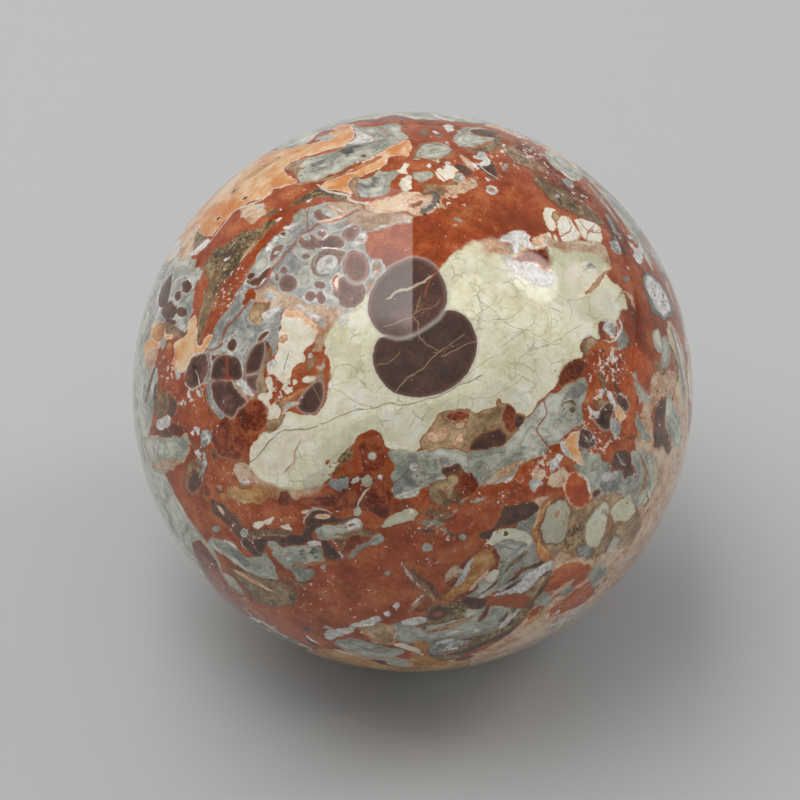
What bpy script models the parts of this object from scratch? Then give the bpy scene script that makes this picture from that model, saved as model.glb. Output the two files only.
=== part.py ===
"""A polished jasper ball, cut and ground from one lump of brecciated stone.

The real thing is one piece of rock, so the model is one solid: a ball with a small ground
flat underneath, on which it stands still without a stand. The frame is in metres with +Z up,
and the origin is the middle of that rest flat.
"""

import math

import bmesh
import bpy

# Driving dimensions of the stone, in metres
BALL_DIAMETER = 0.100
REST_FLAT_DIAMETER = 0.011

# How finely the ground surface is drawn
SEGMENTS = 72
RINGS = 35

# The stone as one sees it from a step away: rust-red jasper under a high polish
STONE_COLOUR = (0.30, 0.16, 0.10, 1.0)
STONE_ROUGHNESS = 0.08
STONE_IOR = 1.54

BALL_RADIUS = BALL_DIAMETER / 2
REST_FLAT_RADIUS = REST_FLAT_DIAMETER / 2
CENTRE_HEIGHT = math.sqrt(BALL_RADIUS ** 2 - REST_FLAT_RADIUS ** 2)


def clear_scene():
    """Removes every object of the startup scene."""
    for old in list(bpy.data.objects):
        bpy.data.objects.remove(old, do_unlink=True)


def polished_stone():
    """The stone's material: dense silica with a mirror polish."""
    material = bpy.data.materials.new("polished_jasper")
    material.use_nodes = True
    shader = material.node_tree.nodes["Principled BSDF"]
    shader.inputs["Base Color"].default_value = STONE_COLOUR
    shader.inputs["Roughness"].default_value = STONE_ROUGHNESS
    shader.inputs["Metallic"].default_value = 0.0
    shader.inputs["IOR"].default_value = STONE_IOR
    return material


def ring_angles():
    """Polar angles of the rings, in radians from straight down, from the rest flat's rim up."""
    rim = math.asin(REST_FLAT_RADIUS / BALL_RADIUS)
    step = (math.pi - rim) / RINGS
    return [rim + step * i for i in range(RINGS)]


def add_ring(mesh, angle):
    """One level ring of vertices on the ball, at this angle from straight down."""
    radius = BALL_RADIUS * math.sin(angle)
    height = CENTRE_HEIGHT - BALL_RADIUS * math.cos(angle)
    turns = (2 * math.pi * i / SEGMENTS for i in range(SEGMENTS))
    return [mesh.verts.new((radius * math.cos(t), radius * math.sin(t), height)) for t in turns]


def ball_mesh():
    """The closed surface: a flat disc below, level rings up the ball and a fan at the top."""
    mesh = bmesh.new()
    rings = [add_ring(mesh, angle) for angle in ring_angles()]
    top = mesh.verts.new((0.0, 0.0, CENTRE_HEIGHT + BALL_RADIUS))
    for low, high in zip(rings, rings[1:]):
        for i in range(SEGMENTS):
            j = (i + 1) % SEGMENTS
            mesh.faces.new((low[i], low[j], high[j], high[i]))
    for i in range(SEGMENTS):
        mesh.faces.new((rings[-1][i], rings[-1][(i + 1) % SEGMENTS], top))
    rest_flat = mesh.faces.new(reversed(rings[0]))
    for face in mesh.faces:
        face.smooth = face is not rest_flat
    bmesh.ops.recalc_face_normals(mesh, faces=mesh.faces)
    return mesh


def build():
    """Makes the one node of the part."""
    clear_scene()
    data = bpy.data.meshes.new("jasper_ball")
    mesh = ball_mesh()
    mesh.to_mesh(data)
    mesh.free()
    data.materials.append(polished_stone())
    ball = bpy.data.objects.new("jasper_ball", data)
    bpy.context.scene.collection.objects.link(ball)
    return ball


build()
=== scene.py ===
"""Looks of a polished jasper ball: one lump of brecciated stone, ground round and polished.

The stone is a mosaic of pieces of jasper, agate and chert. Every piece is drawn as an outline
on the ball, and the mesh carries, for each sort of stone, how far each point is inside it. The
material turns those distances into crisp edges, rims, bands and veins.
"""

import math
from collections import namedtuple

import bpy
import numpy as np
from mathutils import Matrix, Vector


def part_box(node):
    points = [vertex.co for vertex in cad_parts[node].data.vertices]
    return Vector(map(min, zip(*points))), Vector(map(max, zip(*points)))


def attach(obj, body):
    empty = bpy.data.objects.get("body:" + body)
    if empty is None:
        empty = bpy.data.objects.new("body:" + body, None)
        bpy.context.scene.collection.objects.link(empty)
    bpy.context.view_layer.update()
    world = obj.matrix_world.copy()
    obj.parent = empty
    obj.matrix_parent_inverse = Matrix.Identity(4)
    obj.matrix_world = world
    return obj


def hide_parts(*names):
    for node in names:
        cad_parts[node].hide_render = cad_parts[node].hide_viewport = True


bl_info = {
    "name": "Polished jasper ball",
    "version": (1, 0, 0),
    "blender": (4, 5, 0),
    "location": "View3D > Sidebar > Jasper",
    "description": "Builds a polished ball of brecciated jasper on a pale studio floor",
    "category": "Add Mesh",
}

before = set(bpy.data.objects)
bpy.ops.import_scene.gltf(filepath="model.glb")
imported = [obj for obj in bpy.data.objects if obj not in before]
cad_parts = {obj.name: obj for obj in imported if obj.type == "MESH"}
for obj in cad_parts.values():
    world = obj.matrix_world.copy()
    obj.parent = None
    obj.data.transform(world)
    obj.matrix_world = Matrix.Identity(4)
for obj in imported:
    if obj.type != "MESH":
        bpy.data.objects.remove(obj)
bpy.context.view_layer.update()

MM = 0.001

# The ball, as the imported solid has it
BALL_NODE = "jasper_ball"
BALL_LOW, BALL_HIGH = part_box(BALL_NODE)
BALL_RADIUS = (BALL_HIGH.x - BALL_LOW.x) / 2
BALL_MIDDLE = np.array([0.0, 0.0, BALL_HIGH.z - BALL_RADIUS])
RADIUS_MM = BALL_RADIUS / MM

# How the photograph sees it, in the photograph's own pixels
PHOTO_SIZE = 800
OUTLINE_MIDDLE = (412.5, 391.7)
OUTLINE_RADIUS = 280.5
CAMERA_DISTANCE = 0.9
CAMERA_RISE = math.radians(40)
SENSOR_WIDTH = 36.0
FOCAL_PIXELS = OUTLINE_RADIUS / math.tan(math.asin(BALL_RADIUS / CAMERA_DISTANCE))

# The camera's right, up and back directions
CAMERA_AXES = np.array([
    [1.0, 0.0, 0.0],
    [0.0, math.sin(CAMERA_RISE), math.cos(CAMERA_RISE)],
    [0.0, -math.cos(CAMERA_RISE), math.sin(CAMERA_RISE)],
])

# Distances inside a stone are kept up to this many millimetres from its edge
REACH = 3.0

# How far a piece's shade reaches past its edge, how far inside that of a bright piece starts, what
# counts as bright, the most that a rim is brightened, and how much of the wobble a vein follows
SHADE_SPREAD = 0.25
BRIGHT_INSET = 0.1
BRIGHT_SHADE = 0.3
RIM_SHADE = 0.1
VEIN_WOBBLE = 0.6

# The random pieces: their count, the largest and smallest in millimetres, how many thick places
# the small ones gather in, and how far round to the camera they come, 1 for straight at it. They
# lie lengthwise round one axis, as they settled in the rock.
SCATTERED = 1900
SCATTERED_SIZES = (19.0, 0.7)
THICK_PLACES = 40
FRONT = 0.3
FLOW_AXIS = np.array((0.35, 0.2, 0.9))
SCATTERED_SHARES = {
    "rust": 15, "brick": 12, "cream": 10, "ivory": 5, "white": 5, "peach": 5, "ochre": 4, "orb": 9,
    "plum": 6, "grey": 15, "blue": 6, "olive": 5, "khaki": 6, "tan": 7,
}


def linear(code):
    """Linear red, green and blue of an sRGB hex colour."""
    parts = [int(code[i:i + 2], 16) / 255 for i in (1, 3, 5)]
    return tuple(c / 12.92 if c <= 0.04045 else ((c + 0.055) / 1.055) ** 2.4 for c in parts)


# One sort of stone: dark, body and pale colours, how much cloud (6 mm), mottle (1.8 mm), grain
# (0.5 mm) and banding along its own edge it shows, how ragged its edge is in millimetres, a rim
# inside its edge (colour, width in millimetres, share) and its crack lines (colour, share)
Stone = namedtuple("Stone", "label dark body pale cloud mottle grain bands ragged edge lines")
STONES = {
    "rust": Stone("Rust jasper", "#843610", "#A6481A", "#BE6A38", 1.2, 0.45, 0.5, 0.0, 0.45,
                  ("#B0643A", 0.5, 0.4), ("#D0A080", 0.15)),
    "brick": Stone("Brick-red jasper", "#5A220C", "#843819", "#A05630", 1.2, 1.0, 0.9, 0.0, 0.45,
                   ("#A05A36", 0.4, 0.4), ("#C79A80", 0.15)),
    "cream": Stone("Cream chert", "#DDD6B4", "#F0EACB", "#FCF9EA", 1.3, 0.45, 0.5, 0.0, 0.20,
                   ("#DAD3B0", 0.6, 0.5), ("#A89F7A", 0.60)),
    "ivory": Stone("Ivory shell", "#E6D8BA", "#F4ECD8", "#FCF8EC", 0.9, 0.7, 0.5, 0.0, 0.30,
                   ("#E8D2B4", 0.3, 0.5), ("#BC9A70", 0.35)),
    "white": Stone("Milky quartz", "#BDB6B0", "#E2DCD8", "#F8F5F2", 0.5, 1.2, 1.0, 0.0, 0.30,
                   ("#CFC2BC", 0.3, 0.4), ("#8E7F74", 0.25)),
    "peach": Stone("Peach agate", "#D88A4A", "#E6B07A", "#EFCEA6", 1.9, 0.7, 0.4, 0.0, 0.20,
                   ("#F0DCD2", 0.30, 0.8), ("#E9CDB8", 0.25)),
    "ochre": Stone("Ochre jasper", "#A86A34", "#CC9252", "#DEB47C", 1.2, 0.9, 0.5, 0.2, 0.20,
                   ("#B5602F", 0.35, 0.7), ("#E4C79E", 0.2)),
    "orb": Stone("Chocolate orb", "#432D24", "#51382E", "#66463A", 0.8, 0.6, 0.6, 0.0, 0.02,
                 ("#7E5A4C", 0.8, 0.75), ("#7A5C50", 0.08)),
    "orb_over": Stone("Chocolate orb on top", "#4A3027", "#593C31", "#744C3E", 0.8, 0.6, 0.6, 0.0,
                      0.02, ("#8A6A60", 1.0, 0.8), ("#7A5C50", 0.08)),
    "plum": Stone("Plum jasper", "#402A20", "#553A2E", "#6F4A38", 0.9, 0.8, 0.5, 0.0, 0.20,
                  ("#8A5E44", 0.45, 0.6), ("#8E7468", 0.15)),
    "grey": Stone("Grey-green agate", "#888A7E", "#B9B8A8", "#DCDBCD", 1.3, 0.4, 0.3, 0.8, 0.20,
                  ("#A8997C", 0.25, 0.6), ("#75705C", 0.25)),
    "blue": Stone("Blue-grey chalcedony", "#90908A", "#B6B5AE", "#DCDAD4", 1.1, 0.9, 0.5, 0.6, 0.12,
                  ("#C8C8C4", 0.22, 0.35), ("#8A8682", 0.2)),
    "olive": Stone("Olive jasper", "#4A3C26", "#7A6546", "#A88E66", 0.9, 1.3, 1.4, 0.0, 0.45,
                   ("#8A6A42", 0.5, 0.5), ("#C4B08A", 0.3)),
    "khaki": Stone("Khaki agate", "#7E6040", "#A88A64", "#CCB08A", 1.1, 0.9, 0.5, 0.3, 0.15,
                   ("#A2562E", 0.35, 0.7), ("#D8C29A", 0.2)),
    "tan": Stone("Tan chert", "#BC8C66", "#D8B292", "#E8D0B4", 1.3, 1.1, 0.8, 0.0, 0.45,
                 ("#C09070", 0.4, 0.3), ("#E8D4BE", 0.3)),
}

# Colours of what lies on or between the stones
FLECK_COLOUR = "#EFDCCF"
DARK_FLECK_COLOUR = "#5A4636"
HALO_COLOUR = "#C2C8C0"
VEINS = {
    "tan_vein": "#B08A68",
    "beige_vein": "#D6C4A4",
    "dark_vein": "#7D7659",
    "red_vein": "#A84A30",
    "white_vein": "#E4E0D4",
}

Piece = namedtuple("Piece", "stone outline rounded wobble rim shade")

# How far the edge of each form of piece wanders. Blobs of the orb stones are nearly smooth.
WOBBLE = {"chip": 0.8, "blob": 1.0, "orb": 0.15, "streak": 0.6, "smooth blob": 0.2}


def groups_of(text):
    """The groups of numbers in a text such as "12,34 56,78", as tuples."""
    return [tuple(float(number) for number in group.split(",")) for group in text.split()]


def lines_of(text):
    """Each line of a list: the words before its colon and the groups of numbers after it."""
    for line in text.replace("\n ", " ").split("\n"):
        if line and not line.startswith("#"):
            words, numbers = line.split(":")
            yield words.split(), groups_of(numbers)


def orb_outline(middle, widths, turn=(0.0,)):
    """A round piece, by its middle, its two widths and its turn in degrees."""
    cosine, sine = math.cos(math.radians(turn[0])), math.sin(math.radians(turn[0]))
    outline = []
    for i in range(10):
        across = widths[0] / 2 * math.cos(i * math.pi / 5)
        along = widths[1] / 2 * math.sin(i * math.pi / 5)
        outline.append((middle[0] + across * cosine - along * sine,
                        middle[1] + across * sine + along * cosine))
    return outline


def streak_outline(width, line):
    """A long piece that follows a line and tapers to both ends, of this width in the middle."""
    sides = ([], [])
    for i, (x, y) in enumerate(line):
        before = line[max(i - 1, 0)]
        after = line[min(i + 1, len(line) - 1)]
        length = math.hypot(after[0] - before[0], after[1] - before[1])
        half = width / 2 * math.sin(math.pi * (i + 0.35) / (len(line) - 0.3))
        aside = (-(after[1] - before[1]) / length * half, (after[0] - before[0]) / length * half)
        sides[0].append((x + aside[0], y + aside[1]))
        sides[1].append((x - aside[0], y - aside[1]))
    return sides[0] + sides[1][::-1]


def pieces_of(text):
    """The pieces in a list, from lines such as "streak grey 6 +10 in white 0.2: 12,34 56,78"."""
    made = []
    for (form, stone, *rest), outline in lines_of(text):
        shade = sum(float(word) / 100 for word in rest if word[0] in "+-")
        rim = (rest[-2], float(rest[-1])) if "in" in rest else None
        wobble = WOBBLE[form]
        if form == "orb":
            outline = orb_outline(*outline)
        elif form == "streak":
            outline = streak_outline(float(rest[0]), outline)
        elif form == "blob" and stone in ("orb", "orb_over"):
            wobble = WOBBLE["smooth blob"]
        made.append(Piece(stone, outline, form != "chip", wobble, rim, shade))
    return made


# The pieces that show in the photograph, from the large grounds up to the small chips, a line
# each. A chip is broken, with straight edges, a blob has a flowing edge, and an orb is round. A
# line gives the form, the stone, a streak's width, by how many hundredths the piece is paler or darker
# than its stone, the stone and millimetres of a rim round it, and after the colon its points:
# pixels of the photograph. Points outside the ball's outline run on behind it.
GROUND = """
orb rust: 412.5,391.7 552,552
blob grey: 166,250 200,268 192,300 168,328 152,350 158,375 154,410 150,440 165,475 190,520 222,570
 205,620 120,520 98,392 122,300
blob grey: 280,146 300,148 320,134 345,125 370,119 395,115 415,119 440,120 470,123 500,126 560,150
 520,100 420,88 320,105
blob tan: 655,450 690,430 720,440 690,540 620,620 560,660 440,700 330,690 310,652 360,652 430,662
 480,655 520,625 560,580 600,555 640,520 660,490
"""

# Pale pinkish piece under the round lamp's highlight: partly the stone's own pale patch, partly painted
# highlight
CREAM_FIELD = """
blob tan: 322,338 330,312 345,306 358,300 366,288 372,300 350,318 336,334
blob cream: 326,336 335,318 348,309 360,303 368,290 380,300 420,300 440,268 447,262 455,253 463,248
 472,243 482,241 494,243 506,248 520,246 545,242 566,243 590,242 602,247 608,258 608,272 613,282
 623,292 629,303 628,313 615,317 614,328 600,336 588,338 582,346 582,358 566,366 560,380 548,395
 536,408 526,417 500,420 440,418 424,436 418,451 398,452 387,446 382,431 372,430 360,435 352,446
 340,458 333,471 325,481 308,491 290,493 268,484 250,475 249,460 255,442 266,430 279,420 288,412
 304,415 320,411 327,398 329,378 326,352
orb cream +10: 468,296 30,44 10
blob tan: 262,484 285,489 305,489 322,483 310,495 285,498 262,492 248,478 240,470 250,468
blob cream -9: 330,440 352,424 380,414 410,408 440,404 470,396 500,384 520,392 526,408 505,416
 470,412 440,418 424,434 410,446 388,440 372,428 352,436 340,452 330,462 318,470 316,452
blob cream -16: 322,470 330,456 344,448 352,440 344,458 332,474 318,486 304,489 308,478
blob cream +6: 478,292 490,284 506,288 520,298 540,304 556,316 566,334 556,346 538,340 524,330
 508,326 494,314 482,306
blob cream -8: 540,262 552,272 560,286 574,296 590,296 604,290 614,300 612,314 596,322 580,316
 566,306 554,298 544,284
blob cream -5: 352,370 362,362 374,372 378,388 388,402 376,408 360,400 350,386
blob ivory: 250,456 253,446 261,437 272,430 284,426 290,429 279,436 268,446 258,457 255,466
blob ivory: 257,462 264,451 273,442 284,434 296,429 308,429 314,434 308,440 299,444 296,452 293,461
 288,469 280,473 268,473 260,469
blob ivory: 338,412 340,404 346,401 354,401 356,406 350,411 344,415
orb white: 342.5,320 10.5,10.5
orb cream: 342.5,319.5 3.5,3
orb white: 333,352 10.5,9.5
orb cream: 333,352 7,6.5
orb grey: 514,250 16,9 20
blob white +10: 500,239 506,235 511,231 517,229 524,230 529,234 530,240 534,245 532,250 525,248 519,243
 520,251 515,253 512,246 505,242
blob white -7: 503,259 512,256 524,258 536,262 546,268 553,276 553,285 545,287 534,283 522,277
 510,269
blob brick +10 in ochre 0.25: 513,259 520,256 526,251 535,250 546,248 557,247 557,252 552,259 549,266
 543,269 536,263 526,260
orb tan +15: 541,240 22,10 -20
orb grey: 606,331 15,20 -15
blob brick: 600,330 601,323 606,320 613,321 606,323 604,329 607,336 613,340 606,339 602,335
blob white: 605,326 608,324 611,332 613,338 608,336 605,331
"""

TOP_FIELDS = """
blob tan: 412,168 440,178 470,178 478,186 462,193 442,199 438,208 424,215 410,214 404,200 400,184
blob tan: 480,242 494,238 507,247 512,254 498,256 486,252
orb white: 492,190 12,8.5 18
orb tan -20: 492,190 6.5,4 18
orb grey: 459,220 9,2.6 20
orb tan: 454.5,225 5,1.6
chip ivory: 543,214 545,208 550,207 556,209 558,213 555,219 556,226 553,232 549,231 545,224
chip ivory: 546,232 550,233 552,238 548,238
chip ivory: 553,235 557,236 558,241 554,241
chip ivory: 558,218 563,215 569,217 573,222 576,229 580,233 577,240 570,243 563,241 560,233 557,226
chip ivory: 575,221 582,219 590,222 596,223 601,229 603,236 602,243 594,242 586,240 581,235 578,229
blob khaki +15: 554,212 558,211 560,217 557,222 554,219
blob cream -11: 545,237 560,243 580,245 601,246 607,257 610,268 604,277 600,286 592,292 580,294
 566,291 556,281 552,262
chip ivory: 565,276 568,268 574,262 584,261 594,265 598,272 596,281 592,288 584,291 575,290 568,283
streak blue 5: 585,270 590,266 595,267
streak khaki 5 +15: 580,296 588,291 596,284 603,276 611,267
blob tan -12: 548,238 556,241 570,244 590,246 604,244 612,258 606,262 596,254 576,251 560,250 548,246
"""

TOP_BAND = """
# Peach agate along the upper left, with its grey cores
blob peach: 268,152 300,146 322,140 335,127 350,124 356,131 352,139 342,146 325,152 308,157 292,162
 283,170 290,176 297,180 296,184 285,186 276,188 271,194 262,199 250,202 240,208 231,215 224,221
 217,229 208,237 200,234 194,226 186,236 178,252 165,262 178,225 200,190 230,160
blob peach: 322,186 335,177 345,172 355,167 365,160 378,154 390,147 400,142 409,142 411,149 407,156
 398,158 390,163 382,167 374,172 362,176 353,180 349,188 352,195 344,193 334,190
blob tan +6: 366,204 372,213 382,216 394,213 404,212 416,211 421,203 418,195 416,186 406,189 396,195
 385,198 375,201
blob peach -4: 370,205 378,209 390,206 400,203 404,196 397,197 386,201 376,203
blob grey +2: 350,214 360,211 372,214 384,218 398,216 410,216 412,222 400,224 386,228 370,232 356,229
 346,223
streak tan 5: 356,224 376,222 396,219 410,217
streak rust 2 +10: 368,213 380,217 394,215
streak ochre 5: 236,184 250,176 264,166 280,157
streak ochre 4: 345,174 358,168 372,161 386,155
blob tan: 196,226 198,238 193,250 183,259 178,250 184,236
blob khaki -30: 197,232 204,236 208,240 203,246 198,252 194,245
blob khaki -10: 283,169 289,164 300,160 298,168 298,176 300,181 335,176 350,168 338,178 320,182 305,184
 296,184 298,178 290,171
blob grey in khaki 0.3: 299,165 312,157 325,154 340,148 347,144 353,139 357,132 351,126 362,127 375,127
 388,124 398,123 402,131 408,139 400,142 390,147 380,152 370,157 360,161 350,166 340,171 330,175
 318,179 305,181 299,177
blob white: 348,144 355,139 358,132 352,127 361,130 366,134 373,136 374,141 371,143 362,143
streak blue 6 -55: 342,152 349,151 357,147
streak blue 3.5 -45: 312,164 317,164 322,161
streak blue 2 -20: 357,149 372,145 386,140
streak tan 3 -20: 380,128 385,131 388,136
streak blue 2.5 -30: 308,172 318,169 326,168
streak khaki 2: 296,167 302,169 306,166
blob khaki -10: 348,184 352,178 358,177 366,179 358,184 358,191 364,195 371,199 362,199 354,195 349,190
blob grey: 357,183 362,179 372,176 378,171 388,171 397,172 396,178 391,184 390,190 384,195 378,197
 370,198 364,194 358,190
streak blue 4 -40: 358,184 364,187 370,186 375,183
orb blue -40: 375,179 5,3 -20
blob blue -10: 357,186 364,190 372,194 366,198 359,193
streak brick 4: 345,125 360,121 375,121 390,117 400,118 405,127 410,136 418,140
streak rust 3: 316,136 325,132 336,131
chip grey: 289,147 296,140 306,137 308,140 300,146 292,149
chip blue: 314,141 320,136 330,134 334,138 326,141
streak rust 3: 303,158 320,154 335,150 345,145
orb khaki -35: 234.5,191 6,2.2 -38
orb brick: 245,198 7,3 -20
orb brick +10: 219,218.5 6,3 -20
# The rust and olive bands below it
blob rust: 270,200 274,191 284,187 295,185 310,186 318,187 322,191 310,195 300,197 293,200 285,204
 278,209 271,206
blob rust: 208,242 213,236 220,230 224,224 232,219 238,218 244,222 252,224 258,228 250,229 243,231
 238,236 230,240 222,244 214,249 209,256 200,264 194,268 199,256 205,251
blob tan -5: 243,206 254,203 263,204 266,210 260,218 252,224 244,219 241,212
orb blue: 260,207 7,5
blob olive: 214,250 222,246 232,240 240,234 248,230 258,229 263,224 270,221 278,221 271,229 262,239
 255,247 246,257 238,266 228,280 220,290 216,300 212,312 208,322 203,335 197,346 195,338 198,325
 199,312 204,297 208,285 205,275 203,266 209,259
blob khaki +5: 206,300 213,295 213,308 208,320 202,331 202,315
streak khaki 6: 240,262 250,250 260,239 268,229
streak olive 8: 290,206 300,201 314,194 326,193 340,197 350,200
chip olive -20: 262,217 268,212 275,210 277,212 270,217
chip olive -10: 260,230 262,225 269,221 276,222 270,228
blob rust: 236,272 248,256 262,240 275,232 283,225 288,216 296,207 306,205 314,206 305,211 297,216
 292,223 284,231 272,238 262,248 252,260 242,275
chip white: 308,203 309,199 312,199 311,204
chip white: 283,230 286,225 290,224 289,229
streak white 2.5: 276,221 279,219 281,217
streak white 2.5: 223,261 226,260 229,258
streak white 6: 189,255 197,251 203,246 209,239
streak white 7: 172,258 176,249 180,241
blob rust: 194,283 200,280 207,284 204,292 199,298 197,305 200,315 198,323 194,318 192,306 194,295
blob rust: 221,285 228,279 238,270 245,266 241,280 236,290 230,297 224,305 222,316 214,322 210,332
 206,330 210,314 216,302 219,292
"""

# Pale beads and dark orbs. The orbs' strong paler shades are partly their own tone, partly painted
# reflection of the soft panel.
CHALCEDONY = """
# Blue-grey chalcedony with plum orbs, under the broad reflection
blob blue -12: 243,286 247,276 252,264 258,255 265,247 273,238 283,231 292,221 296,213 303,210 312,206
 320,203 335,202 352,206 360,210 350,215 346,222 356,226 366,230 367,245 370,258 382,258 386,268
 380,282 370,290 362,302 350,311 335,316 326,330 316,330 300,312 288,308 280,318 277,345 270,360
 264,340 252,346 246,360 244,380 255,396 246,398 236,388 240,372 238,360 228,354 214,356 208,352
 210,338 218,322 232,304 238,292
blob grey: 292,224 295,214 302,210 308,213 306,222 298,226
blob tan -25: 345,221 352,214 362,210 378,213 392,214 402,216 392,222 378,226 366,230 356,226
blob tan -20: 327,204 345,201 365,206 352,212 340,216 330,214
blob tan -5: 256,292 272,286 290,296 305,302 330,306 342,312 330,330 322,346 316,334 306,314 292,304
 276,310 262,314 254,304
orb blue +10: 270,296 12,10
blob khaki +5: 250,310 260,302 270,304 266,316 258,326 250,320
# Pale beads and dark orbs
orb grey in white 0.12: 261.5,263 14,19 20
blob plum +35 in white 0.15: 246,284 252,280 262,275 270,268 272,274 264,280 254,285
orb orb: 251,276 9.5,6 -35
blob blue +60: 263,250 270,241 280,233 290,227 298,226 288,232 278,240 270,250
orb grey in blue 0.15: 285.5,239 13,10 10
chip plum +30: 279,233 287,232 285,237 281,236
blob orb +85: 271,252 276,246 284,245 280,254 274,260 270,262
orb orb +95: 324,216 22,14 15
orb blue +15: 329,213 16,7 20
blob orb +75: 298,242 302,236 309,234 316,237 318,244 314,250 304,249
orb blue +10: 307,237.5 8,6 20
blob orb +62: 316,243 318,238 324,236 334,235 342,238 345,243 341,248 330,250 320,249
orb orb_over +65: 322,234.5 10,9
blob orb_over +62: 341,236 346,228 353,225 360,228 357,236 352,242 346,241
orb orb +70: 306,256 9,7
orb grey +10: 300,251 12,7 10
blob orb +80: 311,270 311,262 315,255 323,251 336,250 346,253 341,262 334,270 325,277 316,276
orb white -4 in blue 0.1: 327,264.5 23,16 -35
orb grey -10: 329,261 8,5 -30
orb orb +62: 288,283.5 18.5,17.5
orb orb +80: 284,270 8,8
orb orb +85: 277,277 5,8
orb grey +5 in white 0.15: 305,277 12,18 15
orb orb +70 in white 0.12: 310.5,296 11,11
orb orb +65: 320,285 12,8 10
orb orb +65: 321.5,298 9,14 -10
orb orb +66 in blue 0.1: 349,292 33,33
orb orb_over +72: 356,267 27,34 -10
orb blue +10 in white 0.12: 377,269 13,20 5
orb tan -25: 376.5,269 7,11 5
orb white: 376.5,272 3,2
blob tan -25: 366,286 371,280 375,284 370,292 366,294
orb white in tan 0.1: 363,237.5 7,10
orb tan -20: 361,240 4,4
streak white 3: 353,244 357,243 361,242
streak white 2.6: 330,206.5 335,208.5 341,211.5
blob white: 282,228 285,225 292,224 302,222.5 294,226 286,230
streak peach 5 +15: 319,223 328,221 337,219.5 343,216
streak white 3: 275,266 278,262 281,258
streak white 2.6: 274,254 277,252 280,250.5
streak rust 7 +30: 337,275 335,282 337,291
streak peach 3.5 +30: 338,277 336,283 338,289
blob white: 262,314 267,310 275,309 281,310 274,314 268,319 263,318
blob white: 323,289 328,291 333,297 338,304 334,304 330,299 325,294
blob rust: 240,300 246,292 252,288 256,292 255,300 248,302 243,305
orb blue: 241,296 9,8
orb plum +20 in blue 0.2: 232,345 9,13 20
"""

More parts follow.
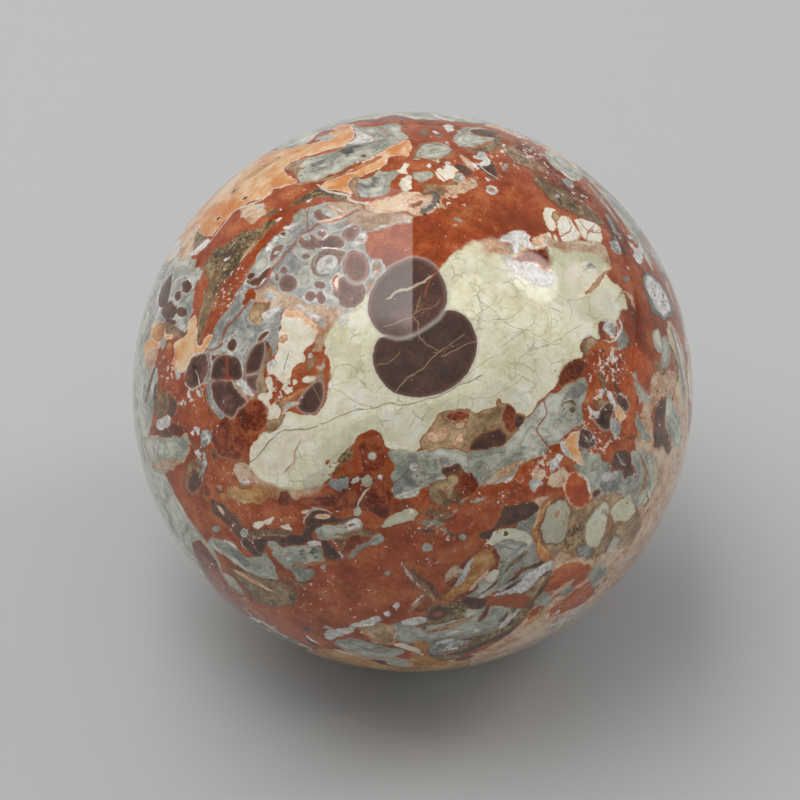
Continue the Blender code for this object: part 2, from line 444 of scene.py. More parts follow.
LEFT_ORBS = """
blob blue -5: 160,276 190,272 202,274 196,283 194,296 192,312 190,320 186,332 178,336 164,330 152,322
 150,300
blob plum +25: 159,306 160,292 166,279 172,276 170,292 167,304
blob plum +15: 182,283 190,280 193,288 187,293 182,290
blob plum +10: 163,307 170,301 177,307 176,316 168,320 162,315
orb plum +10: 182,312 11,10 20
orb plum +20: 178,296 7,10 10
orb plum +10: 171,322 12,6 10
blob khaki -20: 156,326 168,324 180,331 188,337 178,339 166,336
blob khaki -15: 203,300 208,286 216,274 222,272 214,290 210,305 205,322 199,336 197,326 200,312
blob peach: 172,345 178,340 184,338 188,331 189,324 192,317 196,317 197,327 197,341 201,346 204,340
 207,335 212,334 209,344 202,352 196,356 192,361 187,370 181,373 175,370 172,362 174,352
blob peach: 146,362 144,346 150,336 151,326 158,322 163,326 166,331 173,333 173,338 166,339 162,346
 157,350 153,360
blob ochre +5: 153,328 158,323 164,328 164,336 158,342 153,338
blob tan -5: 146,364 148,352 154,350 158,352 154,366 150,376
blob rust: 158,396 158,380 158,366 158,352 163,342 170,342 172,350 171,362 176,371 184,374 188,386
 200,390 208,394 204,410 190,408 178,398 170,392
orb grey -10: 163,343 6,11 15
orb ochre: 169,346 5,9 20
blob plum +40 in blue 0.35: 185,376 188,366 193,359 200,355 206,354 207,366 205,378 200,385 193,388
 187,384
streak plum 6 +15: 194,382 196,370 199,358
orb blue: 178,375 5,9
orb blue -5: 150,385 12,40 12
streak olive 4 +10: 146,400 150,384 155,368
orb olive -20: 156,394 5,22 5
blob khaki -30 in rust 0.2: 155,404 159,394 165,391 171,394 176,400 178,407 175,415 169,420 161,420
 155,413
blob plum +25: 168,393 174,398 177,407 173,417 166,416 169,405
streak white 3: 189,389 189,396 193,400 198,401
streak white 3.5: 196,388 199,393 200,398
streak white 2.5: 182,397 184,402 186,407
streak khaki 8 -20: 207,388 209,398 213,412
blob blue -5: 206,352 212,350 211,366 210,385 214,402 224,414 230,419 222,417 212,408 207,394 206,372
blob khaki -12: 240,396 252,394 262,396 276,398 290,394 302,388 306,390 296,398 286,404 284,416
 278,428 268,432 266,420 262,406 250,402
blob orb: 212,379 212,368 215,360 221,356 228,355 235,357 240,362 242,370 241,379 228,380
blob orb: 212,383 220,381.5 231,381 236,387 240,393 245,399 249,404 246,409 238,414 231,417 225,414
 219,408 214,400 212,391
blob khaki -15: 262,344 266,342 270,347 272,354 270,363 267,372 266,384 267,392 262,398 254,394
 256,382 260,370 263,358
orb brick -20: 267,346 4,9 -10
blob orb: 246,373 247,362 250,353 255,345.5 260,342 264,343 264,352 262,362 259,370 252,374
blob orb_over +3: 246,377 252,375.5 258,375 256,383 257,391 252,389 248,384
streak plum 5 +30: 258,341 263,336 270,332
blob white: 235,382 240,380 245,382 250,388 256,395 252,396.5 245,394 240,388
streak tan 3: 232,380 236,386 242,394 249,402
blob brick +12 in khaki 0.3: 236,414 242,408 250,402 258,400 265,406 268,416 264,426 254,432 243,430
 236,422
# The ivory piece and the ragged flecks round it
blob tan -10: 282,308 290,304 298,303 308,313 318,324 324,344 322,354 312,352 316,336 306,320 292,310
blob ivory: 281,322 283,314 287,310 292,309 298,313 305,319 311,325 316,332 314,341 308,348 306,354
 305,360 299,366 293,372 291,378 293,384 294,388 291,392 286,393 283,388 280,382 275,376 270,374
 272,364 276,355 278,345 279,333
blob peach +10: 284,312 290,308 298,311 306,317 313,323 318,331 314,330 304,323 294,317 286,317
orb tan +12: 284,338 8,11 10
blob rust -8: 303,366 305,358 303,352 309,348 316,351 322,353 322,362 319,370 325,374 325,381 316,384
 306,388 297,391 295,388 300,378 304,372
blob rust +5: 291,378 293,370 298,365 303,362 303,370 299,377 293,382
orb khaki -10: 311,363 10,14 15
orb khaki -10: 321,377 8,9
chip ivory: 303,382 306,378 309,374 313,376 317,377 313,381 306,383
chip ivory: 295,386 294,380 297,379 299,384
chip white: 319,372 318,366 323,359 322,368
chip white: 308,358 308,353 311,352 313,356
blob white: 296,304 300,304 305,308 311,311 316,313 319,318 315,321 310,316 302,310
orb blue +5: 321.5,322 8,10
blob ivory: 267,388 266,380 270,376 274,380 276,388 273,392 269,392
chip ivory: 257,397 262,394 267,395 270,390 274,398 275,405 279,404 281,410 278,420 272,421 268,418
 269,408 264,404 260,400
chip white: 269,372 270,364 274,357 276,362 273,370
blob rust -12: 274,380 276,376 279,382 282,390 277,395 274,389
chip rust: 268,402 273,396 275,401 271,406
orb white: 280,396.5 5,3
blob orb -8: 298,406 300,400 304,394 309,388 315,383 321,382 323,388 323,396 321,404 316,411 309,413
 302,411
streak blue 6 +25: 283,413 288,406 299,402
streak ochre 3 +10: 276,401 290,397 307,388
"""

BIG_ORBS = """
blob orb: 372.5,359 375,346 382,337 400,334 430,318 446,310 456,311.5 467,318 474,329 477,346 473,363
 463,379 446,391 427,396.5 410,397 393,392 381,381 375,370
orb orb -10: 430,341 62,30 -15
blob orb_over: 367.5,306 373,287 382,274.5 397,263 412,257.5 425,259.5 437,269 445,283 447.5,298 445,309
 439,318 429,326.5 416,334 404,338.5 391,338 379,331.5 371,321
"""

RIGHT_SIDE = """
# Fragments along the upper right
blob brick +10: 505,136 530,146 556,166 584,188 610,214 632,244 646,274 634,268 618,244 598,222 574,202
 546,180 522,158
blob khaki -25: 500,146 516,148 532,158 546,168 540,172 524,166 508,156
blob khaki -36: 530,172 542,178 554,187 568,193 584,203 598,214 604,224 590,221 574,214 560,207
 548,197 536,184
blob olive -10: 552,190 562,194 572,202 580,210 570,210 560,203
blob olive: 462,150 472,149 482,146 490,142 498,136 503,138 500,146 490,151 475,151
blob brick +20: 582,190 592,194 604,206 614,220 622,234 614,234 602,220 590,206
blob plum +15: 606,214 612,217 618,226 622,238 626,252 624,264 616,258 611,244 608,230
blob blue -25: 611,240 616,242 621,252 622,262 616,258 611,250
streak blue 3 -10: 606,214 612,224 616,234
blob rust +5: 624,222 630,226 636,236 640,246 634,244 627,234
streak white 1.6: 626,226 631,234 635,242
streak grey 2.5: 588,184 598,196 608,208 618,222
streak white 2: 614,236 619,246 623,256
blob grey: 545,150 560,156 575,168 582,178 575,180 562,173 550,163
streak white 2.5: 560,170 568,177 576,180 584,179
streak grey 9: 598,188 612,202 628,222 642,246 652,268
chip blue: 562,180 567,179 574,183 573,188 567,186
orb white: 573,186.5 2.5,2.5
chip white: 633,254 637,247 639,240 643,250 642,258 641,265 636,261
chip white: 627,234 630,235 632,239 629,238
chip white: 628,242 632,244 636,250 632,248
orb blue: 557,196 5,4
orb white: 583,196 5,3
orb plum +20: 578,203 12,5 20
# Top: pale shards and maroon patches
chip grey in khaki 0.3: 417,158 419,150 422,144 430,143 440,142 448,146 452,151 446,155 440,158 430,159
chip grey: 452,140 456,131 466,127 482,128 492,133 496,138 486,142 474,147 462,148
blob plum +30: 470,131 480,129 492,131 499,134 492,137 480,136
blob brick: 415,122 430,120 445,123 436,126 422,125
orb khaki -20: 424,133 8,9
orb olive: 439,135 7,6
chip white: 443,126 447,124 454,126 453,130 449,132 444,129
streak white 2.5: 432,131 435,132 439,134
streak white 2.5: 432,114 442,118 453,121
blob rust: 388,160 402,155 416,160 430,162 446,160 462,166 462,178 450,187 436,187 424,190 410,192
 400,190 402,178 394,170
chip ivory: 435,172 440,167 444,170 446,164 452,166 459,167 460,172 453,173 456,179 449,178 443,182
 438,178
orb grey +10: 459,178 12,9 -20
orb white: 462,178 5,5
chip grey: 413,173 424,171 431,171 434,176 428,181 420,183 415,178
chip white: 436,161 439,159 441,162 438,163
chip white: 444,162 448,161 452,165 446,164
chip ivory: 394,171 400,168 404,162 409,165 406,171 409,174 402,174
blob ivory -10: 402,189 401,181 407,176 413,176 411,182 407,190
blob khaki -15: 420,186 428,184 438,186 446,190 440,197 432,194 424,196
chip white: 424,165 428,164 432,167 428,169
blob plum +15: 452,163 460,164 467,166 472,171 470,177 461,175 456,170
blob plum +10: 480,168 486,163 493,162 496,169 498,178 491,178 485,173
blob blue +20: 472,156 480,152 487,154 490,161 486,166 476,165 482,160 476,159
streak white 5: 470,164 475,166 478,170
streak tan 6: 461,156 467,162 473,170
chip white: 484,177 489,179 488,183
streak blue 4.5 -48: 432,190 436,197 434,204 428,208 421,210 424,214
streak white 2: 429,196 430,202 424,206
streak olive 4 +10: 442,186 452,184 460,183
streak khaki 4 +10: 424,200 418,204 410,206
# The right side: rust with agate slivers
blob rust -8: 606,246 616,252 634,262 643,278 647,296 655,314 668,322 674,332 666,346 662,356 652,362
 648,374 640,384 630,386 620,384 606,388 592,386 582,382 584,372 588,362 594,350 602,342 612,338
 618,332 616,322 620,315 627,308 625,296 616,280 610,262
blob rust +6: 575,384 590,378 612,376 632,384 634,400 630,416 634,432 626,446 606,450 590,452 576,446
 582,430 582,410 580,395
blob rust +24: 620,354 632,348 642,352 650,360 648,372 640,384 636,400 640,416 636,432 628,434 622,424
 624,410 618,398 612,388 616,376 618,364
blob tan: 654,374 664,370 674,372 675,384 672,396 664,398 656,404 652,416 652,430 654,446 642,450
 634,444 640,428 641,414 644,404 650,396 650,384
orb blue -25: 626,279 6,5
streak tan 4 -10: 616,300 624,292 630,296 634,306
blob blue -40: 643,276 647,272 653,276 660,283 667,293 672,305 672,314 667,318 661,318 655,314 650,306
 646,296 643,286
blob white +5: 646,279 650,276 655,281 662,289 668,300 670,309 666,314 660,313 655,306 650,297
 646,288
blob grey: 650,252 662,268 674,290 683,318 689,350 693,390 720,420 712,320 695,265 668,238
blob tan +2: 668,322 676,330 684,355 688,390 688,430 682,450 676,446 680,424 674,404 675,384 674,360
 668,340
blob grey +5 in white 0.2: 655,330 658,329 661,338 663,347 660,353 656,346 653,337
blob grey -8 in khaki 0.25: 664,336 668,341 671,350 669,362 666,371 662,372 661,362 663,350
blob olive +5: 655,360 661,366 668,368 664,373 656,370
streak peach 3: 668,322 674,334 678,350
streak grey 5 -10: 671,328 679,350 683,378 684,405
streak white 2.5: 674,332 681,356 685,384
streak olive 3.5 +10: 670,345 676,362 678,380
streak rust 4 +5: 660,258 674,286 683,316 688,345
streak peach 3: 683,322 689,350 691,385
# Fragments in the speckled rust
orb khaki -10 in olive 0.15: 590.5,347 19,19
blob rust: 588,358 592,348 600,341 608,336 616,340 622,350 620,364 612,376 600,384 588,384 583,376
 586,366
blob brick -16 in ochre 0.25: 561,374 563,368 570,364 578,361 586,360 588,363 584,369 580,374 572,379
 566,384 561,386 560,380
blob grey -10 in olive 0.12: 620,336 622,329 626,333 628,342 624,348 617,350 616,344
streak brick 4.5 -15: 606,320 601,325 601,333 606,340
orb white: 611,329 9,19 -12
orb blue -10: 612.5,329 4.5,12 -10
streak white 2.8: 617,316 621,324 620,333 614,340 607,343
streak brick 2.5 +15: 616,320 618,326 617,333 612,338
chip plum +15: 599,349 604,347 607,351 602,353
chip plum +15: 602,362 606,360 609,364 604,367
chip white: 611,350 613,354 617,358 615,360 611,356
chip grey: 632,371 636,373 637,379 634,380
blob grey -3 in white 0.12: 635,380 639,384 645,392 650,400 648,404 642,399 637,390
streak white 2.2: 640,404 643,396 648,391
streak olive 5 -20: 600,374 603,382 606,390 610,399
streak plum 5 +5: 613,378 616,385 619,391 620,396
streak white 4.5: 603,386 601,393 598,401 595,405
streak white 5.5: 606,388 611,397 615,408 618,418
streak peach 3 +5: 600,388 598,395 594,400
orb khaki -8 in rust 0.12: 600.5,404 14,10 -10
blob white: 588,406 592,410 598,411 604,408 603,414 598,419 592,417
blob orb -8: 598,418 600,412 603,408 608,403 613,405 613,412 610,419 611,427 605,430 599,426 594,419
blob orb +2: 616,397 621,395 626,399 629,406 626,411 621,407 617,402
blob peach +8: 614,409 619,405 624,412 625,418 620,421 616,415
blob blue +8 in white 0.1: 610,426 613,419 619,421 621,428 618,434 612,432
blob orb -2: 578,440 580,431 585,428 590,432 594,438 595,444 588,449 581,447
streak white 1.4: 583,433 586,438 590,445
streak peach 3: 597,451 606,446 614,440 622,437
orb brick -15: 632,437 9,4 -5
blob grey in white 0.1: 636,412 640,419 645,428 651,437 649,441 642,437 638,428 637,420
blob plum +25: 653,428 654,414 658,404 664,400 666,403 665,412 664,422 666,430 671,438 671,448 668,457
 664,449 658,447 654,448
blob grey +5 in white 0.15: 666,402 670,394 674,404 680,420 681,442 676,449 672,438 667,430 665,416
"""

LOWER_BODY = """
# The brown agate with its orange rim, and the grey wedge that it lies on
blob grey: 388,453 398,449 418,451 445,448 480,446 505,442 514,434 526,418 535,409 545,398 558,391
 572,382 582,377 588,388 583,404 583,416 580,426 568,434 558,443 546,452 535,458 524,463 514,473
 503,482 490,484 477,487 470,497 455,500 436,488 420,489 412,498 399,498 392,487 391,474 393,464
blob khaki: 421,447 421,440 426,431 432,424 437,417 445,412 455,409 468,409 478,412 487,410 494,405
 497,397 501,399 503,404 510,405 515,410 517,414 523,413 526,418 519,426 512,436 508,443 500,447
 485,448 472,451 455,451 440,450 428,451
blob plum: 468,449 474,440 483,434 494,430 503,431 507,438 504,445 492,448 480,450
blob brick -10: 506,406 513,409 517,416 516,426 511,433 506,424 503,414
blob plum +10: 515,416 523,415 524,420 516,429 513,424
blob tan: 450,418 458,422 466,418 462,427 455,425
orb brick +10: 458,416 22,8 -5
blob tan +20: 452,447 456,437 462,433 464,440 458,445
orb tan +10: 438,435 22,14 -15
streak blue 9 -35: 565,402 576,392 584,388
streak olive 3: 563,404 570,402 576,404
blob brick: 443,474 442,467 449,466 456,463 461,468 466,473 473,474 476,481 476,488 470,496 460,498
 450,490 448,480
blob plum: 443,473 443,467 450,466 456,464 461,470 455,472 448,474
orb khaki: 453,480 12,12
orb blue -35: 403,487 24,14 -20
orb grey +10: 412,494 18,6 -20
orb white -10: 414,467 9,8
orb olive: 415.5,468 4.5,4
orb blue -30: 445,462 8,6
chip white: 504,483 508,478 513,474 512,478 507,483
# The rust band with its pale specks
blob rust: 470,494 478,487 490,486 503,484 512,477 520,468 530,461 545,455 551,447 558,443 562,450
 560,457 552,463 546,472 540,482 548,487 568,484 574,476 583,477 587,486 588,497 590,505 580,508
 568,506 556,498 545,500 536,503 522,503 508,505 500,510 496,522 486,530 472,537 460,530 465,510
blob brick +35: 570,480 578,475 585,480 588,495 582,506 570,504
blob tan: 549,486 549,478 556,472 563,469 568,474 568,484 560,487
blob white: 549,470 550,463 555,457 561,455 560,461 556,467 552,472
orb tan: 538,475 14,12 -30
blob blue: 528,482 536,481 545,481 539,486 536,491 531,489
blob peach +12: 561,444 568,438 574,434 579,431 579,440 580,448 584,456 585,465 578,462 571,458
 565,452
streak white 7: 561,441 564,447 567,453 571,458
blob grey -8: 583,450 590,449 598,452 601,460 610,462 612,470 622,470 632,472 635,478 632,490 625,498
 615,498 605,500 595,502 588,497 586,485 580,475 573,468 575,463 584,465
blob white -10: 600,474 605,472 612,470 617,474 614,480 606,482 602,478
orb blue -35: 609,487 18,8 5
blob plum +25: 590,498 591,492 597,489 602,491 600,495 594,499
blob plum +5: 612,466 613,456 616,450 624,449 630,452 631,460 633,470 636,476 628,475 626,480 623,474
 620,468 615,471
streak blue 2.5 -10: 617,454 621,460 625,468
streak rust 5 +15: 588,449 600,452 612,450 626,446
# Beige nodules and the ochre round them
blob tan: 533,500 548,497 570,505 590,508 604,500 620,497 632,490 640,470 636,450 655,448 664,450
 668,470 658,495 640,520 622,538 604,556 580,566 556,566 540,560 534,545 534,525
blob khaki +2: 541,505 554,497 570,503 584,505 600,498 618,494 634,504 642,516 638,532 630,546
 616,556 600,560 580,558 562,558 548,560 542,545 540,525
blob olive +25: 570,530 578,522 586,526 584,540 590,552 580,556 570,552 566,542
blob rust +30 in tan 0.3: 566,482 572,475 580,477 587,486 589,497 584,505 572,504 566,495
blob ochre +15: 533,534 539,522 541,510 546,503 552,499 546,512 543,525 541,538 546,548 552,562
 542,562 537,550
blob grey +2: 630,452 645,450 655,460 658,480 648,500 636,508 632,495 636,476
streak khaki 4 +5: 640,456 646,470 644,486 638,498
streak cream 5 -20: 652,456 656,472 652,488 644,504
streak blue 3 -10: 634,458 638,474 634,488
streak olive 3 +15: 646,492 648,500 644,506
blob cream -26 in khaki 0.2: 543,524 546,511 553,503 562,500 568,508 568,522 567,536 560,543 552,545
 545,540 542,532
streak tan 2.2 -15: 560,505 566,514 563,522 565,530
orb tan -10: 557,514 5,9 20
blob cream -10: 610,512 616,504 624,496 630,495 633,504 634,513 626,520 615,521
blob cream -10 in khaki 0.15: 584,540 585,528 590,517 598,507 606,502 610,510 607,520 606,532 602,541
 596,548 588,546
streak ochre 4 -18: 606,512 610,521 609,529 605,537
blob blue -25: 578,549 586,545 592,550 590,557 582,558
blob cream -30 in khaki 0.2: 614,536 618,541 614,550 606,560 603,566 606,554
# Plum patch, grey agate and the ochre pocket
blob grey -16: 494,546 500,538 512,532 524,517 536,514 534,525 532,534 536,542 537,552 538,562 530,566
 520,569 511,574 503,580 498,578 499,570 496,563 498,554
streak olive 4 -10: 506,572 512,564 520,557 528,552
streak blue 5 -22: 504,562 512,556 522,549 532,546
blob cream -16: 486,543 490,536 497,532 506,529 514,530 526,532 533,539 528,543 517,540 507,540
 498,542 491,547
orb olive: 506,534 5,5
blob plum: 478,538 482,532 490,530 496,524 500,517 502,508 510,505 522,502 533,502 538,506 537,512
 530,517 522,520 515,525 505,528 497,531 492,536 488,540 482,540
blob brick +12: 474,548 480,543 488,544 495,549 499,556 498,565 493,574 484,584 472,593 460,600
 446,606 432,609 418,612 410,606 424,598 440,588 456,572 466,556
blob ochre -4 in rust 0.15: 474,556 480,551 488,550 493,555 493,564 487,573 478,583 466,592 454,599
 442,604 433,605 438,597 448,590 457,585 464,577 470,566
streak white 6 -12: 456,586 463,577 467,568 473,558
streak peach 4 -10: 470,590 480,580 488,570
blob grey -14: 458,602 468,595 478,587 484,578 492,574 500,578 508,576 514,574 506,584 496,591 486,597
 472,601
streak plum 2.5: 476,596 486,590 496,582 502,578
blob ivory -10: 485,577 490,572 497,570 500,573 498,578 493,582 487,581
# White splinter low on the right, in dark brown stone
blob tan -4: 560,552 580,560 600,556 630,545 660,540 640,590 600,620 560,645 510,665 460,672 440,664
 470,655 500,640 522,622 536,600 548,578
blob rust +18 in tan 0.4: 550,575 560,566 576,562 590,566 588,578 570,590 552,600 540,606 536,596
 544,586
blob rust +14 in tan 0.3: 556,604 572,594 588,586 596,576 602,580 594,594 578,606 560,614 548,618
blob grey -10: 590,578 596,570 604,566 608,572 603,580 594,588
streak blue 2.5 -30: 592,584 598,575 604,568
blob grey -20: 536,598 544,592 551,594 548,602 540,606 534,604
blob grey -15: 560,590 566,586 574,588 568,594 560,596
streak brick 4 +15: 531,612 540,608 548,610
blob olive: 490,600 500,592 520,586 540,572 552,566 551,577 543,590 534,603 524,617 512,630 496,640
 480,648 464,654 446,660 428,658 424,648 420,632 424,618 430,608 444,604 462,600
blob khaki -3: 528,592 536,584 544,576 547,578 540,590 533,600 527,606 522,602
blob plum: 497,594 503,586 512,577 522,570 532,564 542,561 546,563 538,570 528,578 518,586 508,592
streak grey 4: 518,579 525,573 533,569
streak grey 4 -10: 500,592 508,585 516,580
blob rust -12: 466,600 478,601 490,599 503,596 514,594 526,594 531,599 528,605 519,608 508,606 498,606
 486,607 474,609 465,606
blob plum: 463,598 472,597 486,599 488,605 478,609 468,608
chip white -5: 490,597 498,594 506,592 512,589 518,583 524,577 532,571 540,566 547,562 552,560
 553,567 548,570 541,576 535,582 529,588 523,593 517,592 511,593 502,595
streak plum 3.5: 553,570 547,582 540,592 534,602 527,613
streak plum 5: 522,618 511,630 497,638 480,645 462,652 438,656
streak olive 4 +10: 516,612 504,625 490,632 470,640
blob grey -12 in khaki 0.15: 536,601 543,596 551,594 552,600 546,605 539,607
streak rust 6 +10: 529,618 535,611 543,607
streak peach 4 -5: 552,596 562,588 574,580
streak rust 5 +15: 548,612 560,604 576,592 592,580
streak grey 4.5: 545,630 558,624 572,616 586,606
streak white 2.5: 548,627 560,621 574,612 584,603
streak ochre 5 +10: 524,626 534,618 542,613
streak grey 5: 588,576 596,568 603,562
# Grey agate lens of the foot, with its swirls
blob grey -20: 426,626 440,623 456,619 470,616 482,611 492,606 504,606 511,612 509,619 500,624 494,631
 484,634 472,637 458,641 444,644 432,650 427,642
blob grey -6 in white 0.12: 466,611 480,609 492,606 504,607 511,613 506,619 496,624 488,620 480,616
 470,617
blob grey: 462,613 470,611 480,612 478,616 468,618
streak khaki 5.5 -8: 424,634 436,630 450,626 464,621 474,616
streak brick 4 -15: 490,605 485,613 478,622
blob white -8: 521,608 517,614 511,620 504,626 495,631 499,625 505,619 512,613
streak plum 3: 508,612 504,618 498,622
blob plum: 426,615 431,609 442,606 450,608 449,614 442,619 434,621 428,619
orb rust -5: 438,614 8,5 5
blob grey -20: 392,624 402,624 414,627 424,630 429,638 420,642 408,643 396,640
blob white -10 in plum 0.12: 401,619 409,618 417,617 425,617 426,621 420,625 410,626 402,623
blob blue -38: 430,648 436,641 447,638 459,640 468,640 460,646 448,651 434,655
streak white 2.4: 439,643 446,641 453,640
streak white 2.4: 445,650 452,649 459,648
streak white 2.4: 446,634 454,632 463,631
streak plum 3.5: 456,660 464,658 473,656
# The forked agate left of the pocket
streak khaki 8 -10: 401,560 408,572 418,582 428,592 436,603
streak plum 5: 408,566 419,576 430,586 438,596 440,603
streak white 2.8: 401,561 406,570 414,580 424,590
streak khaki 6 +5: 425,593 418,602 411,611
streak white 2.2: 424,593 418,600 413,606
chip white: 394,606 399,603 402,607 398,611
chip white: 383,613 389,610 392,614 387,617
blob grey -5: 422,548 428,544 433,547 430,551 424,552
"""

LEFT_FOOT = """
# Rust and brick on the lower left, with grey agate
blob grey in tan 0.3: 145,442 151,437 162,439 176,436 187,437 189,446 184,456 178,464 168,470 158,467
 150,459
orb tan -15: 166,464 28,10 -10
blob brick: 150,430 160,420 175,424 188,430 180,436 160,437
blob white -10: 156,424 160,418 170,417 168,426 160,430
blob khaki -10: 186,470 190,462 200,460 204,474 200,492 190,494 184,482
blob plum +30: 188,486 189,474 195,469 200,475 201,485 197,491 191,491
blob brick +8: 212,440 213,424 222,417 236,418 248,430 252,446 246,458 232,459 218,453
blob blue -30: 202,430 209,430 212,437 210,445 204,446 201,438
streak white 2: 207,433 210,438 209,444
chip white: 193,427 197,425 199,431 195,432
chip white: 193,451 199,449 202,453 199,459 196,456
streak blue 4 -20: 203,450 205,460 203,470 198,478
blob plum +25: 160,430 167,428 171,432 169,437 162,437
blob tan -10: 234,466 244,463 252,470 246,479 236,477
blob ochre -15: 228,490 245,484 262,486 278,490 270,500 250,505 232,500
orb white: 245,481 13,4.5 8
streak olive 4: 238,486 245,488 252,487
orb brick -10: 284,498 14,18
blob plum +18 in brick 0.2: 210,498 219,502 229,509 236,515 241,522 248,530 245,538 238,536 232,529
 221,520 213,513
streak peach 3: 217,505 221,510 224,515
streak white 2.5: 231,530 233,527 235,524
orb blue -25: 216,529 8,6
blob khaki -38: 248,534 256,530 270,529 284,530 292,533 286,540 268,541 252,541
blob plum: 252,541 268,536 285,536 298,535 306,530 306,522 307,515 312,511 318,510 327,511 335,516
 348,517 358,513 359,516 348,521 335,524 327,525 319,528 314,532 315,541 308,543 301,547 292,548
 284,549 274,544 268,546 263,552 256,556 252,550
streak white 1.8: 304,521 306,514 312,509.5 322,508.5
streak peach 5: 316,519 322,516.5 330,516
chip plum in white 0.16: 241,541 246,538 252,543 258,552 257,559 250,554 244,547
orb blue -15: 244.5,533 8,9
chip ivory: 252,526 257,521 262,522 268,518 274,516 276,519 270,522 263,526 258,529
chip ivory: 281,527 285,525 288,521 289,526 292,532 287,531
chip ivory: 300,512 306,509 311,510 306,513
chip ivory: 335,510 339,506 340,510
blob grey -6 in khaki 0.12: 208,541 214,538 221,538 231,542 239,550 248,558 257,558 262,554 268,552
 271,558 275,567 278,581 270,580 258,577 248,572 236,564 222,554 211,547
streak blue 6 -40: 229,548 236,554 243,560 248,566
streak white 3: 222,540 230,543 237,549
streak blue 4 -20: 214,542 222,547 230,554
orb blue -25: 258,567 8,5 20
blob grey -4 in khaki 0.12: 272,553 281,550 291,548 301,546 310,546 320,549 324,556 322,562 312,564
 301,564 292,567 285,568 279,562
orb blue -50: 303,553 4,5
orb blue -50: 314,554 6,9 15
streak blue 4 -20: 286,556 296,560 306,559
orb grey in plum 0.1: 275,546.5 17,8 38
blob white -10: 308,543 312,540 319,541 321,546 315,547 310,547
streak rust 6 -12: 268,552 276,563 286,573 298,583
streak olive 3: 279,572 288,580 299,586 308,582
blob grey -12 in olive 0.25: 291,568 298,566 306,567 313,570 314,575 310,580 302,583 296,577
streak ochre 3: 291,568 302,565 318,563.5 337,563
chip white: 321,567 326,565 326,572
blob khaki -35: 338,532 350,529 366,530 374,533 366,540 352,546 344,548 338,542
blob brick -10: 346,544 354,537 364,535 370,538 362,543 352,550 345,553
blob grey in olive 0.12: 315,531 320,528 327,527 336,526 344,524 354,519 361,523 360,528 350,531 338,534
 330,536 320,536
chip white: 343,527 349,522 356,518 361,522 359,527 350,530
streak olive 2: 345,528 351,525 357,523
blob plum: 322,544 325,540 331,542 336,548 340,557 332,560 325,557
streak white 2: 334,541 339,548 341,557
streak grey 4: 318,537 326,538 338,537 345,539
blob grey -8 in khaki 0.12: 346,556 352,551 357,547 368,540 379,534 383,539 378,545 366,548 358,552
 351,557
streak blue 3 -30: 356,551 366,545 376,539
streak white 2: 364,497 361,504 357,512
chip cream -22: 380,529 387,520 397,513 405,509 411,508 418,513 414,519 402,523 389,526
blob brick +5: 300,498 330,492 360,470 358,452 366,440 384,440 386,470 392,500 386,520 366,512
 340,508 318,506
blob blue -25: 328,483 332,478 340,478 349,477 350,483 346,488 338,490 331,488
blob olive +5: 338,462 342,452 350,448 354,456 346,465
orb grey: 372,456 9,8
orb cream -30: 367,481 11,11
chip white: 351,484 354,478 358,476 359,482 355,485
chip white: 378,477 381,474 383,477 381,481
chip white: 375,486 377,484 377,487
blob cream -20: 352,512 355,506 360,505 361,512 357,516
blob khaki -25: 429,488 434,482 442,481 449,482 455,490 453,501 446,506 438,505 431,500
streak olive 5 -20: 441,492 445,500 444,508
streak olive 4.5 -30: 455,493 459,499 462,505
streak khaki 3: 436,484 446,488 455,486
blob khaki -32: 426,514 431,510 440,509 449,512 455,516 447,520 434,520
streak olive 2.5 -15: 430,513 439,512 449,515
blob grey -12: 418,520 426,520 436,521 446,524 438,527 424,525
orb plum +20: 427,531 20,5.5 3
orb plum +10: 450.5,534.5 8,6 15
orb grey -15: 462,537 9,6
blob grey -10: 464,504 472,500 480,497 487,497 484,501 474,503
chip grey: 444,533 441,529 446,529 449,534
orb grey -5: 427,548 12,7 -10
blob tan -12: 448,572 456,566 462,570 456,578 446,582
orb grey: 387,573 6,5
streak tan 8 -12: 485,484 497,476 510,468 522,461
chip white: 503,483 507,478 513,474 512,479 507,483
streak blue 5 -30: 396,488 404,480 410,472
streak blue 4 -25: 398,496 408,490 418,487
orb blue -20: 412,457 9,6 -20
orb blue -30: 443,461 6,6
streak blue 3 -20: 424,474 434,476 442,473
streak white 2.5: 396,498 404,494 412,492
# Olive wedge and the red foot
blob khaki -22 in olive 0.3: 229,568 236,570 242,571 257,577 272,581 291,587 296,596 294,604 280,605
 263,604 253,596 242,584 233,574
blob olive: 284,586 291,588 296,597 293,605 280,606 262,604 268,600 284,600 290,596
streak peach 3: 234,571 246,577 258,584 272,591
blob grey: 223,574 228,574 234,579 239,586 244,594 238,592 230,586
blob brick +10: 200,540 212,556 224,578 240,600 262,622 290,640 310,648 290,655 250,630 215,590 192,548
streak grey 4: 246,616 262,628 285,638 310,648
streak white 3: 250,617 262,623 274,630
blob white -12: 325,637 328,631 336,628 343,629 350,625 360,622 370,618 381,617 381,622 368,626
 356,629 350,633 340,636 332,640
blob khaki +12 in white 0.12: 360,628 367,625 377,624 390,625 394,632 392,641 386,644 377,642 368,636
blob grey -12: 334,643 341,640 349,638 359,640 369,642 380,645 390,648 402,650 399,656 380,658 365,657
 350,652 340,648
streak rust 4: 338,638 348,636 358,637 366,640
streak blue 3 -25: 348,645 362,648 378,651
streak white 1.8: 306,636 312,640 320,644
streak plum 2.5: 304,638 312,643 320,647
streak blue 5 -30: 272,633 284,638 298,642
blob ochre -5: 310,652 330,650 350,656 380,660 405,662 412,650 418,640 428,644 430,656 450,662
 470,662 440,690 380,700 320,680
streak plum 4 +20: 372,660 385,663 400,666
blob grey in white 0.12: 386,658 396,659 406,662 413,665 402,667 390,664
streak ivory 5 -10: 394,644 404,646 416,650 424,656
"""

